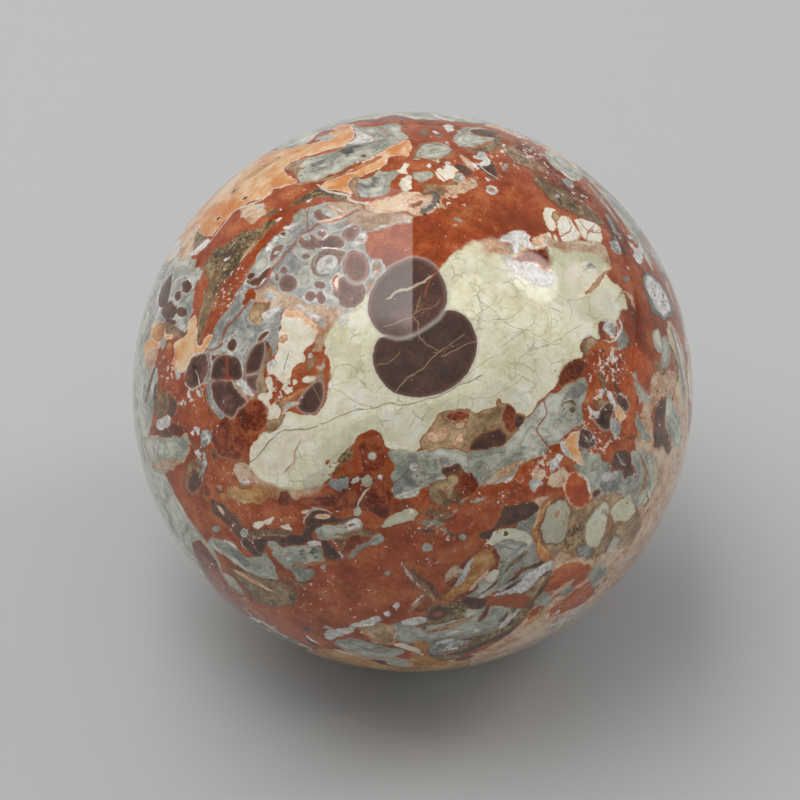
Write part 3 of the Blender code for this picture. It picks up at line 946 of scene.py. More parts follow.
# Small chips lie thick in places: each shower is an oval with its own mix, size and lie. A line
# gives their count and stones, then the oval's middle, widths and turn, and the longest chip's
# length and how slender the chips are.
CHIPS_UNDER = """
60 grey white khaki brick tan blue: 540,150 90,34 33 9,2.8
50 grey brick khaki rust plum: 590,200 80,26 48 8,2.8
40 grey tan rust white: 648,246 16,120 -34 14,8
60 ivory white khaki grey rust ochre tan: 462,158 100,50 5 9,1.8
34 rust peach tan plum khaki ivory: 432,196 56,34 -20 8,1.8
14 rust khaki peach white: 302,200 60,16 -15 8,2
16 white plum peach khaki rust: 255,212 40,16 -30 8,2
26 rust brick white khaki ivory: 205,310 30,90 12 8,2.2
30 ivory peach brick grey white: 176,372 30,50 10 6,1.8
20 white blue khaki brick: 196,400 36,30 0 8,1.8
26 brick plum khaki white olive: 205,450 50,50 60 9,1.8
22 brick ochre plum rust tan: 230,495 60,40 20 11,1.8
34 khaki brick olive grey plum rust: 350,478 70,50 0 10,1.8
22 brick khaki plum grey rust: 352,540 60,34 -20 8,2.4
40 khaki brick brick olive tan: 440,515 90,50 0 8,2.2
18 khaki plum brick: 430,570 70,50 20 7,2
22 brick rust khaki: 350,595 120,50 10 8,3
20 grey white plum rust: 350,640 90,20 12 12,3
26 brick grey white plum blue: 640,250 30,90 -32 10,3
26 khaki grey tan cream: 575,530 90,60 -50 12,2
20 brick white rust tan: 505,495 80,26 -15 8,2
24 brick grey tan plum: 250,610 90,24 38 10,2.6
"""
CHIPS_OVER = """
26 plum plum olive grey: 658,296 14,32 -28 3,1.3
22 brick brick plum: 520,266 18,14 20 1.6,1.5
30 ivory rust white brick: 206,440 26,50 20 4,2
34 ivory rust peach: 168,372 26,60 8 3.4,2
40 white blue ivory: 230,292 24,60 35 4,2.2
16 blue white khaki: 225,400 10,60 0 6,3.5
24 khaki ivory tan: 240,250 30,60 40 2.6,1.5
56 white grey ivory olive blue: 520,158 70,36 30 5,2
40 rust white grey brick: 575,196 90,22 42 4,2
24 white rust blue brick: 616,244 24,70 -30 5,3
40 rust rust ivory khaki: 424,182 60,20 0 3.4,1.8
10 white grey: 600,148 150,8 38 12,7
34 rust ivory peach white brick: 606,366 40,44 60 3.4,1.4
36 rust peach ivory white khaki: 620,400 40,90 10 3.4,1.5
16 ivory white peach: 662,385 16,34 10 4,2
14 rust ivory peach white: 600,440 50,20 -10 3.4,1.5
10 blue white olive: 440,470 110,20 0 7,2.4
8 blue olive: 555,420 50,40 -40 8,3
10 blue white plum: 612,480 50,40 0 7,2
10 blue olive white: 510,556 50,30 -20 9,3
20 ivory rust white: 280,385 26,50 0 4.5,1.5
10 ivory khaki rust: 315,368 18,30 0 4,1.5
10 blue olive white: 350,165 120,22 -15 7,2.4
14 white blue plum khaki: 470,628 90,24 -18 8,3.4
14 white blue olive: 450,645 60,16 -14 8,4
40 grey rust tan white peach khaki: 580,590 110,34 -38 11,4.5
40 khaki tan cream olive: 600,530 90,60 -50 5,2.2
30 tan cream grey khaki: 656,480 20,90 18 9,6
14 white grey olive: 620,585 60,10 -45 12,7
34 ivory khaki brick plum: 420,560 80,50 20 3,1.4
50 ivory khaki brick rust peach: 340,595 150,50 10 2.6,1.4
40 brick peach grey tan plum: 225,590 110,26 48 9,6
24 brick white grey plum: 262,624 80,14 34 10,6
18 ivory rust peach: 280,521 80,10 -4 4,1.6
24 ivory rust khaki: 440,500 70,40 0 3,1.4
34 ivory white rust: 540,470 70,26 -28 3,1.4
24 ivory rust white: 500,494 70,16 -10 3,1.4
20 blue olive white khaki: 290,556 90,26 6 5,2.6
10 white olive: 360,648 60,10 6 7,4
14 ivory tan: 660,410 40,60 12 5,2
"""

GROUNDS = pieces_of(GROUND + CREAM_FIELD + TOP_FIELDS)
PIECES = pieces_of(TOP_BAND + CHALCEDONY + LEFT_ORBS + RIGHT_SIDE + LOWER_BODY + LEFT_FOOT
                   + BIG_ORBS)

# Veins and cracks: the width of each in millimetres and the points of its line
VEIN_LINES = {
    "tan_vein": """
0.2: 385,327 400,321 410,317 414,314 418,308 420,297
0.22: 414,316 418,325 419,338 425,343 432,346 438,351
0.12: 414,314 425,310 435,305 440,300
0.22: 396,392 403,384 410,378 417,372 425,365 433,358 440,351 447,347 455,342 463,335
0.16: 442,356 452,352 462,347 474,342
0.16: 376,365 390,361 400,352
0.25: 300,441 296,450 293,462 285,472
0.3: 467,452 467,462 469,474
0.25: 314,388 318,397 321,402
""",
    "beige_vein": """
0.42: 388,298 394,294 402,290 413,287 424,282 427,278 432,276
""",
    "red_vein": """
0.35: 440,268 430,280 426,290 424,296
0.5: 226,355 227,366 228,380
0.35: 212,381 222,380 232,378
0.3: 543,399 546,410 545,418 540,424 537,431 542,440 550,448
0.35: 560,440 568,434 576,428
0.35: 528,416 545,397 552,393 560,390
0.6: 250,291 266,282 272,270 283,257 300,237 310,230 320,224 335,221 350,214 358,211
0.25: 308,207 307,218 309,229
0.55: 250,300 243,310 235,320 225,330 222,345 212,350
0.3: 208,352 209,366 207,380
0.25: 236,384 240,393 248,401
0.25: 452,140 450,147 462,160 472,172 478,184
0.25: 455,136 470,134 490,137
0.3: 546,229 552,232 558,230
0.3: 560,236 566,234 571,228 570,221 566,216
0.3: 580,220 584,227 590,232 602,232
0.25: 586,240 588,233 594,226
0.25: 436,170 442,176 446,182
0.2: 150,436 154,446 154,458
""",
    "dark_vein": """
0.22: 250,461 256,458 262,450 270,440 280,432 290,429 305,429 318,427
0.2: 321,424 330,421 338,418 345,414 355,411 365,409 375,408 385,404 395,404 405,405 415,402 430,398
 440,395 450,391 458,386 467,383 475,380 482,375
0.1: 450,390 462,381 472,372 484,362 495,356
0.1: 503,347 512,339 522,332 533,325 535,318
0.08: 475,290 480,300 482,315 476,322
0.1: 535,350 550,345 565,335 580,325
0.2: 288,354 286,361 283,368
0.1: 495,320 510,318 520,310 527,303
0.18: 527,417 536,408 545,398
0.42: 415,158 419,148 425,143 436,144 447,144
0.22: 422,156 432,153 446,151
0.3: 430,160 440,158 450,155 458,150
0.2: 454,141 464,133 472,127
0.2: 462,147 474,141 488,138
0.4: 318,253 314,262 318,272 327,277
0.25: 505,547 515,549 524,545
0.25: 503,575 510,565 518,556
0.3: 188,438 196,447 208,451 218,455 230,460 242,462 252,461
0.2: 162,438 164,448 165,460 168,468
0.2: 174,437 178,444 178,456 172,466
0.09: 478,292 484,304 496,314 510,326 524,330
0.08: 524,330 540,338 556,346 566,334
0.08: 540,306 548,318 546,330 540,338
0.08: 566,300 572,310 570,322
0.09: 548,284 560,296 574,300 590,297
0.08: 330,372 338,366 350,364 358,372
0.08: 336,390 346,396 358,404 372,406
0.08: 470,400 490,396 508,388 524,376
""",
    "white_vein": """
0.2: 196,372 200,384 203,396
0.3: 222,342 229,337 236,333
0.3: 237,331 239,340 239,347 232,355
0.25: 172,291 174,282 180,277 187,275
0.3: 187,275 190,281 196,280 201,273
0.35: 205,246 213,237 222,226 232,214 243,207 256,202 266,197 273,189 284,186
0.45: 318,186 330,192 345,195 355,201 368,204
0.35: 325,238 333,231 343,229 350,225
0.3: 222,546 232,549 240,556
0.25: 243,368 242,358 246,348
0.3: 295,253 305,262 318,250 330,248 346,250
0.2: 298,163 304,159 314,157 325,154
0.3: 368,489 360,500 357,508
0.25: 615,321 618,330 616,338 611,342 606,340
0.4: 583,475 588,482 589,492
0.2: 330,512 320,509 310,513 304,521
0.22: 480,166 488,173 498,179
""",
}

# Soft round spots, each as x, y, radius and amount: where pale specks are thick, from 0 to 1
FLECKED = """
    228,296,24,0.9 170,370,24,0.8 195,395,22,0.6 235,242,22,0.4 295,192,18,0.4 540,155,36,0.8
    525,160,30,0.6 580,195,30,0.4 610,366,34,1 590,420,20,0.8 545,462,22,1 515,492,30,0.5
    600,446,20,0.8 355,480,34,0.3 440,515,50,0.45 350,590,60,0.25 655,395,24,0.7 420,560,40,0.25
    440,165,30,0.5 275,385,26,0.6 230,480,40,0.35 636,240,20,0.5 310,600,40,0.3 250,520,30,0.3
"""

# Where one stone fades into the next, over this many millimetres
SOFTENED = """
    554,262,24,1.1 580,244,22,0.9 392,205,28,0.7 468,244,22,1.4 495,246,22,1.4 440,262,16,0.7
    600,255,16,0.9 606,300,22,1 335,318,20,1.2 322,380,18,0.8 270,484,28,1.2 310,486,26,1
    345,455,18,0.5 640,390,26,0.8 660,460,30,0.8 590,520,44,1.1 570,590,44,1 630,540,40,1.2
    250,420,26,0.7 390,225,26,0.8 420,640,50,0.4 620,240,18,0.5 300,270,50,0.35 230,330,40,0.25
    360,590,40,0.5
"""

# Where a stone is darker or paler than elsewhere
TONED = """
    525,478,34,0.13 262,214,36,0.07 600,372,26,0.08 312,258,52,-0.14 505,222,26,-0.15
    470,215,26,-0.08 430,245,24,0.12 475,236,24,0.12 632,322,26,-0.12 560,300,50,0.05
    470,275,30,-0.03 525,365,40,-0.05 430,555,46,-0.05 400,530,30,0.06 255,490,30,0.08
    330,495,26,-0.08
"""


def closed_curve(points, rounded):
    """The points of a closed outline, with its curves drawn through if it is rounded."""
    points = np.array(points, float)
    if not rounded:
        return points
    before, after = np.roll(points, 1, 0), np.roll(points, -1, 0)
    beyond = np.roll(points, -2, 0)
    return spline(before, points, after, beyond)


def open_curve(points):
    """The points of a line with its curves drawn through."""
    points = np.array(points, float)
    padded = np.vstack([2 * points[0] - points[1], points, 2 * points[-1] - points[-2]])
    inner = spline(padded[:-3], padded[1:-2], padded[2:-1], padded[3:])
    return np.vstack([inner, points[-1]])


def spline(before, start, end, beyond, steps=5):
    """Points of a smooth curve on each span from start to end."""
    t = (np.arange(steps) / steps)[None, :, None]
    p0, p1, p2, p3 = (p[:, None, :] for p in (before, start, end, beyond))
    curve = 0.5 * (2 * p1 + (p2 - p0) * t + (2 * p0 - 5 * p1 + 4 * p2 - p3) * t ** 2
                   + (3 * p1 - p0 - 3 * p2 + p3) * t ** 3)
    return curve.reshape(-1, start.shape[1])


def photo_to_ball(points):
    """Directions from the ball's middle to what these pixels of the photograph show on it."""
    points = np.asarray(points, float)
    right = (points[:, 0] - OUTLINE_MIDDLE[0]) / FOCAL_PIXELS
    up = (OUTLINE_MIDDLE[1] - points[:, 1]) / FOCAL_PIXELS
    spread = np.hypot(right, up)
    limb = OUTLINE_RADIUS / FOCAL_PIXELS
    far = CAMERA_DISTANCE
    inside = np.minimum(spread, limb * 0.99999)
    depth = far ** 2 - (1 + inside ** 2) * (far ** 2 - BALL_RADIUS ** 2)
    travel = (far - np.sqrt(np.maximum(depth, 0))) / (1 + inside ** 2)
    angle = np.arctan2(travel * inside, far - travel)
    angle = angle + np.maximum(spread / limb - 1, 0)
    around = np.arctan2(up, right)
    seen = np.stack([np.sin(angle) * np.cos(around), np.sin(angle) * np.sin(around),
                     np.cos(angle)], 1)
    return seen @ CAMERA_AXES


def flat_map(directions, middle):
    """Millimetres along the ball from middle to each direction, as flat coordinates."""
    side = np.cross(middle, (0.0, 0.0, 1.0) if abs(middle[2]) < 0.9 else (1.0, 0.0, 0.0))
    side /= np.linalg.norm(side)
    top = np.cross(side, middle)
    flat = np.stack([directions @ side, directions @ top], 1)
    length = np.linalg.norm(flat, axis=1)
    angle = np.arctan2(length, directions @ middle)
    return flat * (angle / np.maximum(length, 1e-9) * RADIUS_MM)[:, None]


def distance_to_line(points, line):
    """How far each flat point is from a line, and on which side of it."""
    nearest = np.full(len(points), 1e9)
    side = np.ones(len(points))
    for start, end in zip(line[:-1], line[1:]):
        span = end - start
        length = span @ span
        if length < 1e-12:
            continue
        reach = np.clip((points - start) @ span / length, 0, 1)
        away = points - start - reach[:, None] * span
        gap = np.hypot(away[:, 0], away[:, 1])
        turned = span[0] * (points[:, 1] - start[1]) - span[1] * (points[:, 0] - start[0])
        closer = gap < nearest
        nearest = np.where(closer, gap, nearest)
        side = np.where(closer, np.where(turned < 0, -1.0, 1.0), side)
    return nearest, side


def depth_in_outline(points, outline):
    """How deep each flat point lies inside a closed outline, below zero outside it."""
    ends = np.roll(outline, -1, 0)
    inside = np.zeros(len(points), bool)
    x, y = points[:, 0], points[:, 1]
    for (x0, y0), (x1, y1) in zip(outline, ends):
        if y0 == y1:
            continue
        crosses = (y0 > y) != (y1 > y)
        inside ^= crosses & (x < x0 + (y - y0) * (x1 - x0) / (y1 - y0))
    nearest, _ = distance_to_line(points, np.vstack([outline, outline[:1]]))
    return np.where(inside, nearest, -nearest)


def waves(directions, length, rng, count=20):
    """A smooth random value for each direction, that changes over this many millimetres."""
    total = np.zeros(len(directions))
    for _ in range(count):
        heading = rng.normal(size=3)
        heading *= 2 * math.pi * RADIUS_MM / length / np.linalg.norm(heading)
        total += np.sin(directions @ heading * rng.uniform(0.6, 1.4) + rng.uniform(0, 2 * math.pi))
    return total / math.sqrt(count / 2)


class StoneMap:
    """For every point of the ball, its depth inside each sort of stone, and its veins."""

    def __init__(self, directions, rng):
        self.directions = directions
        self.depth = {name: np.full(len(directions), -REACH) for name in STONES}
        self.depth["rust"] += 2 * REACH
        self.shade = np.zeros(len(directions))
        self.flecks = np.zeros(len(directions))
        self.soft = np.zeros(len(directions))
        self.veins = {sort: np.full((len(directions), 3), 9.0) for sort in VEINS}
        # Edges wander by some tenths of a millimetre, in waves 3.2 and 1.3 mm long
        wobble = [waves(directions, 3.2, rng) * 0.16 + waves(directions, 1.3, rng) * 0.07
                  for _ in range(3)]
        self.wobble = np.stack(wobble, 1) / RADIUS_MM

    def near(self, line):
        """The points of the ball within reach of a line on it, and the line's middle."""
        middle = line.mean(0)
        middle /= np.linalg.norm(middle)
        widest = np.arccos(np.clip(line @ middle, -1, 1)).max() + REACH / RADIUS_MM
        chosen = np.nonzero(self.directions @ middle > math.cos(min(widest, math.pi)))[0]
        return chosen, middle

    def lay(self, stone, chosen, depth, shade):
        """Lays a piece of stone over what is there.

        Its shade reaches a little past its edge, but that of a bright piece stays inside, so that
        nothing round it lights up.
        """
        for name, values in self.depth.items():
            if name == stone:
                values[chosen] = np.maximum(values[chosen], depth)
            else:
                values[chosen] = np.minimum(values[chosen], -depth)
        inside = depth > (BRIGHT_INSET if shade > BRIGHT_SHADE else -SHADE_SPREAD)
        self.shade[chosen[inside]] = shade

    def add_piece(self, piece, line):
        """Lays one piece, whose outline is a closed line of directions, after its rim."""
        chosen, middle = self.near(line)
        if not len(chosen):
            return
        moved = self.directions[chosen] + self.wobble[chosen] * piece.wobble
        depth = depth_in_outline(flat_map(moved, middle), flat_map(line, middle))
        depth = np.clip(depth, -REACH, REACH)
        if piece.rim:
            shade = min(piece.shade, RIM_SHADE)
            self.lay(piece.rim[0], chosen, depth + piece.rim[1], shade)
        self.lay(piece.stone, chosen, depth, piece.shade)

    def add_vein(self, sort, width, points):
        """Draws one vein: signed distance, plain distance and width."""
        line = photo_to_ball(open_curve(points))
        chosen, middle = self.near(line)
        moved = self.directions[chosen] + self.wobble[chosen] * VEIN_WOBBLE
        gap, side = distance_to_line(flat_map(moved, middle), flat_map(line, middle))
        kept = self.veins[sort]
        closer = gap < kept[chosen, 1]
        target = chosen[closer]
        kept[target, 0] = (gap * side)[closer]
        kept[target, 1] = gap[closer]
        kept[target, 2] = width

    def add_spots(self, values, spots):
        """Adds soft round spots to the values."""
        for x, y, radius, amount in groups_of(spots):
            middle = photo_to_ball([(x, y)])[0]
            gap = np.arccos(np.clip(self.directions @ middle, -1, 1))
            reach = radius / OUTLINE_RADIUS
            values += amount * np.exp(-(gap / reach) ** 2 * 1.5)


def chips_of(showers, rng):
    """The small chips of a list of showers."""
    made = []
    for (count, *stones), (oval, (wide, high), (turn,), (longest, slender)) in lines_of(showers):
        cosine, sine = math.cos(math.radians(turn)), math.sin(math.radians(turn))
        for _ in range(int(count)):
            place, reach = rng.uniform(0, 2 * math.pi), math.sqrt(rng.uniform())
            across = math.cos(place) * reach * wide / 2
            along = math.sin(place) * reach * high / 2
            x = oval[0] + across * cosine - along * sine
            y = oval[1] + across * sine + along * cosine
            lie = math.radians(turn) + rng.normal() * 0.35
            if wide < high:
                lie += math.pi / 2
            length = longest * (0.35 + 0.65 * rng.uniform() ** 2)
            width = length / (slender * rng.uniform(0.7, 1.4))
            corners = int(rng.integers(5, 8))
            turns = (np.arange(corners) + rng.uniform(0, 0.7, corners)) * 2 * math.pi / corners
            sizes = rng.uniform(0.7, 1.2, corners) / 2
            flat_x = np.cos(turns) * sizes * length
            flat_y = np.sin(turns) * sizes * width
            outline = np.stack([x + flat_x * math.cos(lie) - flat_y * math.sin(lie),
                                y + flat_x * math.sin(lie) + flat_y * math.cos(lie)], 1)
            made.append(Piece(str(rng.choice(stones)), outline, bool(rng.uniform() < 0.5), 0.7,
                              None, float(rng.uniform(-0.12, 0.12))))
    return made


def scattered_pieces(rng):
    """Random pieces in the same stones, for the sides that the photograph doesn't show."""
    names = list(SCATTERED_SHARES)
    shares = np.array(list(SCATTERED_SHARES.values()), float)
    thick_places = rng.normal(size=(THICK_PLACES, 3))
    for size in np.geomspace(*SCATTERED_SIZES, SCATTERED):
        stone = rng.choice(names, p=shares / shares.sum())
        middle = rng.normal(size=3)
        middle /= np.linalg.norm(middle)
        if size < 4 and rng.uniform() < 0.6:
            middle = thick_places[rng.integers(THICK_PLACES)] + 0.25 * middle
            middle /= np.linalg.norm(middle)
        if middle @ CAMERA_AXES[2] > FRONT:
            continue
        if stone in ("ivory", "white") and size > 6:
            stone = "cream"
        side = np.cross(middle, FLOW_AXIS + 0.35 * rng.normal(size=3))
        side /= np.linalg.norm(side)
        top = np.cross(middle, side)
        round_piece = stone == "orb" or rng.uniform() < 0.2
        corners = 12 if round_piece else int(rng.integers(5, 10))
        stretch = rng.uniform(1.0, 1.5) if round_piece else rng.uniform(1.4, 4.5)
        turns = np.sort(rng.uniform(0, 1, corners) * 0.5 + np.arange(corners)) / corners
        lengths = rng.uniform(0.9, 1.1, corners) if round_piece else rng.uniform(0.6, 1.25, corners)
        turns = turns * 2 * math.pi
        flat = np.stack([np.cos(turns) * math.sqrt(stretch), np.sin(turns) / math.sqrt(stretch)], 1)
        flat = flat * (lengths * size / 2 / RADIUS_MM)[:, None]
        flat = closed_curve(flat, bool(round_piece or rng.uniform() < 0.5))
        line = middle + flat[:, :1] * side + flat[:, 1:] * top
        line /= np.linalg.norm(line, axis=1)[:, None]
        rim = None
        if stone in ("grey", "peach", "khaki") and rng.uniform() < 0.4:
            rim = (str(rng.choice(["khaki", "rust", "plum"])), 0.3)
        wobble = 0.3 if stone == "orb" else 1.0
        yield Piece(stone, None, True, wobble, rim, float(rng.uniform(-0.15, 0.15))), line


def cube_ball(rows, nearer):
    """Directions and four-sided faces of an even ball, drawn finer towards the camera."""
    steps = np.tan((np.arange(rows + 1) / rows - 0.5) * math.pi / 2)
    grid_u, grid_v = np.meshgrid(steps, steps, indexing="ij")
    ones = np.ones_like(grid_u)
    sides = [(ones, grid_u, grid_v), (-ones, grid_v, grid_u), (grid_v, ones, grid_u),
             (grid_u, -ones, grid_v), (grid_u, grid_v, ones), (grid_v, grid_u, -ones)]
    points = np.concatenate([np.stack([axis.ravel() for axis in side], 1) for side in sides])
    keys = np.round(points * 1e6).astype(np.int64)
    _, first, index = np.unique(keys, axis=0, return_index=True, return_inverse=True)
    index = index.reshape(-1)
    points = points[first]
    points /= np.linalg.norm(points, axis=1)[:, None]
    corner = (np.arange(rows)[:, None] * (rows + 1) + np.arange(rows)[None, :]).ravel()
    quad = np.stack([corner, corner + rows + 1, corner + rows + 2, corner + 1], 1)
    quads = np.concatenate([quad + n * (rows + 1) ** 2 for n in range(6)])
    faces = index[quads]
    angle = np.arccos(np.clip(points[:, 2], -1, 1))
    drawn = 2 * np.arctan(nearer * np.tan(angle / 2 * 0.999999))
    scale = np.sin(drawn) / np.maximum(np.sin(angle), 1e-9)
    local = np.stack([points[:, 0] * scale, points[:, 1] * scale, np.cos(drawn)], 1)
    uv = np.stack([grid_u.ravel(), grid_v.ravel()], 1)
    uv = np.arctan(uv) / (math.pi / 2) + 0.5
    # The six sides lie in three columns and two rows, each with a narrow margin
    cells = [(n % 3, n // 3) for n in range(6)]
    maps = [((uv * 0.985 + 0.0075) + cell) / (3, 2) for cell in cells]
    return local @ CAMERA_AXES, faces, np.concatenate(maps)[quads.ravel()]


# A ramp between two values that starts and ends softly
SMOOTH = {"interpolation_type": "SMOOTHSTEP"}


def add_node(tree, kind, inputs=None, **settings):
    """Adds a shader node with its settings. Inputs are values or sockets, by name or place."""
    node = tree.nodes.new("ShaderNode" + kind)
    for name, value in settings.items():
        setattr(node, name, value)
    for name, value in (inputs or {}).items():
        if isinstance(value, bpy.types.NodeSocket):
            tree.links.new(value, node.inputs[name])
        else:
            node.inputs[name].default_value = value
    return node


def laid_over(tree, colour, layers):
    """A colour socket with plain colours laid over it, each by its share."""
    for share, code in layers:
        colour = add_node(tree, "Mix", {"Factor": share, 6: colour, 7: (*linear(code), 1.0)},
                          data_type="RGBA").outputs[2]
    return colour


def stone_colour(tree, stone, number, depth, noise, cracks):
    """Colour socket of one sort of stone: its tones laid out by noise, its cracks and its rim."""
    channel = number % 3
    terms = [(noise["cloud"][channel], stone.cloud), (noise["mottle"][channel], stone.mottle),
             (noise["grain"][channel], stone.grain)]
    if stone.bands:
        # Agate bands run along the edge of the piece, each about 0.7 mm wide
        along = add_node(tree, "Math", {0: noise["cloud"][channel], 1: 5.0}, operation="MULTIPLY")
        along = add_node(tree, "Math", {0: depth, 1: 1 / 0.7, 2: along.outputs[0]},
                         operation="MULTIPLY_ADD")
        bands = add_node(tree, "TexNoise", {"W": along.outputs[0], "Scale": 1.0, "Detail": 1.0},
                         noise_dimensions="1D")
        terms.append((bands.outputs[0], stone.bands))
    tone = 0.5 - 0.5 * sum(weight for _, weight in terms)
    for socket, weight in terms:
        tone = add_node(tree, "Math", {0: socket, 1: weight, 2: tone},
                        operation="MULTIPLY_ADD").outputs[0]
    ramp = add_node(tree, "ValToRGB", {"Fac": tone}, label=stone.label)
    stops = ramp.color_ramp.elements
    stops.new(0.5)
    for stop, place, code in zip(stops, (0.25, 0.50, 0.75), (stone.dark, stone.body, stone.pale)):
        stop.position = place
        stop.color = (*linear(code), 1.0)
    line_colour, line_share = stone.lines
    lines = add_node(tree, "Math", {0: cracks, 1: line_share}, operation="MULTIPLY").outputs[0]
    edge_colour, edge_width, edge_share = stone.edge
    edge = add_node(tree, "MapRange", {"Value": depth, "From Max": edge_width,
                                       "To Min": edge_share, "To Max": 0.0}, **SMOOTH).outputs[0]
    return laid_over(tree, ramp.outputs["Color"], ((lines, line_colour), (edge, edge_colour)))


def stone_noise(tree, place):
    """The channels of each size of noise in the stone, by name, and the finest as one colour."""
    channels = {}
    for name, size, detail in (("cloud", 6.0, 2.0), ("mottle", 1.8, 2.0), ("grain", 0.55, 1.0),
                               ("edge", 1.0, 3.0)):
        made = add_node(tree, "TexNoise", {"Vector": place, "Scale": 1 / (size * MM),
                                           "Detail": detail, "Roughness": 0.65})
        parts = add_node(tree, "SeparateColor", {"Color": made.outputs["Color"]})
        channels[name] = list(parts.outputs)
    return channels, made.outputs["Color"]


def hair_cracks(tree, bent, cloud):
    """Hairline cracks: the walls between cells of about 3 mm, bent, and open only in places."""
    walls = add_node(tree, "TexVoronoi", {"Vector": bent, "Scale": 1 / (2.8 * MM)},
                     feature="DISTANCE_TO_EDGE").outputs["Distance"]
    cracks = add_node(tree, "MapRange", {"Value": walls, "From Min": 0.012, "From Max": 0.05,
                                         "To Min": 1.0, "To Max": 0.0}, **SMOOTH).outputs[0]
    opened = add_node(tree, "MapRange", {"Value": cloud, "From Min": 0.47,
                                         "From Max": 0.62}).outputs[0]
    return add_node(tree, "Math", {0: cracks, 1: opened}, operation="MULTIPLY").outputs[0]


def mosaic(tree, noise, cracks):
    """The colour of the stone that reaches deepest at each point, and the depth of every stone.

    Borders blend over their softness, and even a crisp one over a twentieth of a millimetre.
    """
    ragged = [add_node(tree, "Math", {0: channel, 1: 0.5}, operation="SUBTRACT").outputs[0]
              for channel in noise["edge"]]
    soft = add_node(tree, "Attribute", attribute_name="soft").outputs["Fac"]
    wide = add_node(tree, "Math", {0: soft, 1: 0.06}, operation="ADD").outputs[0]
    narrow = add_node(tree, "Math", {0: wide, 1: -1.0}, operation="MULTIPLY").outputs[0]
    colour = best = None
    depths = {}
    for number, (name, stone) in enumerate(STONES.items()):
        depth = add_node(tree, "Attribute", attribute_name="depth_" + name).outputs["Fac"]
        reach = add_node(tree, "Math", {0: ragged[number % 3], 1: 4 * stone.ragged, 2: depth},
                         operation="MULTIPLY_ADD").outputs[0]
        own = stone_colour(tree, stone, number, reach, noise, cracks)
        depths[name] = reach
        if best is None:
            colour, best = own, reach
            continue
        ahead = add_node(tree, "Math", {0: reach, 1: best}, operation="SUBTRACT").outputs[0]
        share = add_node(tree, "MapRange", {"Value": ahead, "From Min": narrow,
                                            "From Max": wide}, **SMOOTH).outputs[0]
        colour = add_node(tree, "Mix", {"Factor": share, 6: colour, 7: own},
                          data_type="RGBA").outputs[2]
        best = add_node(tree, "Math", {0: reach, 1: best}, operation="MAXIMUM").outputs[0]
    return colour, depths


def speck_layers(tree, bent):
    """Pale specks 0.3 to 0.9 mm across, and dark ones half as common: share and colour of each."""
    grains = add_node(tree, "TexNoise", {"Vector": bent, "Scale": 1 / (0.9 * MM), "Detail": 2.0,
                                         "Roughness": 0.6})
    grains = add_node(tree, "SeparateColor", {"Color": grains.outputs["Color"]})
    thick = add_node(tree, "Attribute", attribute_name="flecks").outputs["Fac"]
    for channel, most, code, share in ((0, 0.20, FLECK_COLOUR, 0.85),
                                       (1, 0.15, DARK_FLECK_COLOUR, 0.6)):
        level = add_node(tree, "Math", {0: thick, 1: most, 2: grains.outputs[channel]},
                         operation="MULTIPLY_ADD").outputs[0]
        yield add_node(tree, "MapRange", {"Value": level, "From Min": 0.72, "From Max": 0.76,
                                          "To Max": share}).outputs[0], code


def vein_layers(tree, noise):
    """Veins: drawn where the signed distance is within half a width, close to the line itself."""
    for number, (sort, code) in enumerate(VEINS.items()):
        vein = add_node(tree, "Attribute", attribute_name=sort).outputs["Vector"]
        signed, plain, width = add_node(tree, "SeparateXYZ", {"Vector": vein}).outputs
        away = add_node(tree, "Math", {0: signed}, operation="ABSOLUTE").outputs[0]
        half = add_node(tree, "Math", {0: noise["edge"][number % 3], 1: width},
                        operation="MULTIPLY").outputs[0]
        inside = add_node(tree, "Math", {0: half, 1: away}, operation="SUBTRACT").outputs[0]
        share = add_node(tree, "MapRange", {"Value": inside, "From Min": -0.05, "From Max": 0.06,
                                            "To Max": 0.75}).outputs[0]
        close = add_node(tree, "Math", {0: plain, 1: 0.6}, operation="LESS_THAN").outputs[0]
        yield add_node(tree, "Math", {0: share, 1: close}, operation="MULTIPLY").outputs[0], code


def skin_layers(tree, depths):
    """A thin blue-grey skin round every chocolate orb."""
    for name in ("orb", "orb_over"):
        rising = add_node(tree, "MapRange", {"Value": depths[name], "From Min": -0.60,
                                             "From Max": -0.08}, **SMOOTH).outputs[0]
        falling = add_node(tree, "MapRange", {
            "Value": depths[name], "From Min": -0.02, "From Max": 0.12,
            "To Min": 0.36, "To Max": 0.0}, **SMOOTH).outputs[0]
        yield add_node(tree, "Math", {0: rising, 1: falling},
                       operation="MULTIPLY").outputs[0], HALO_COLOUR


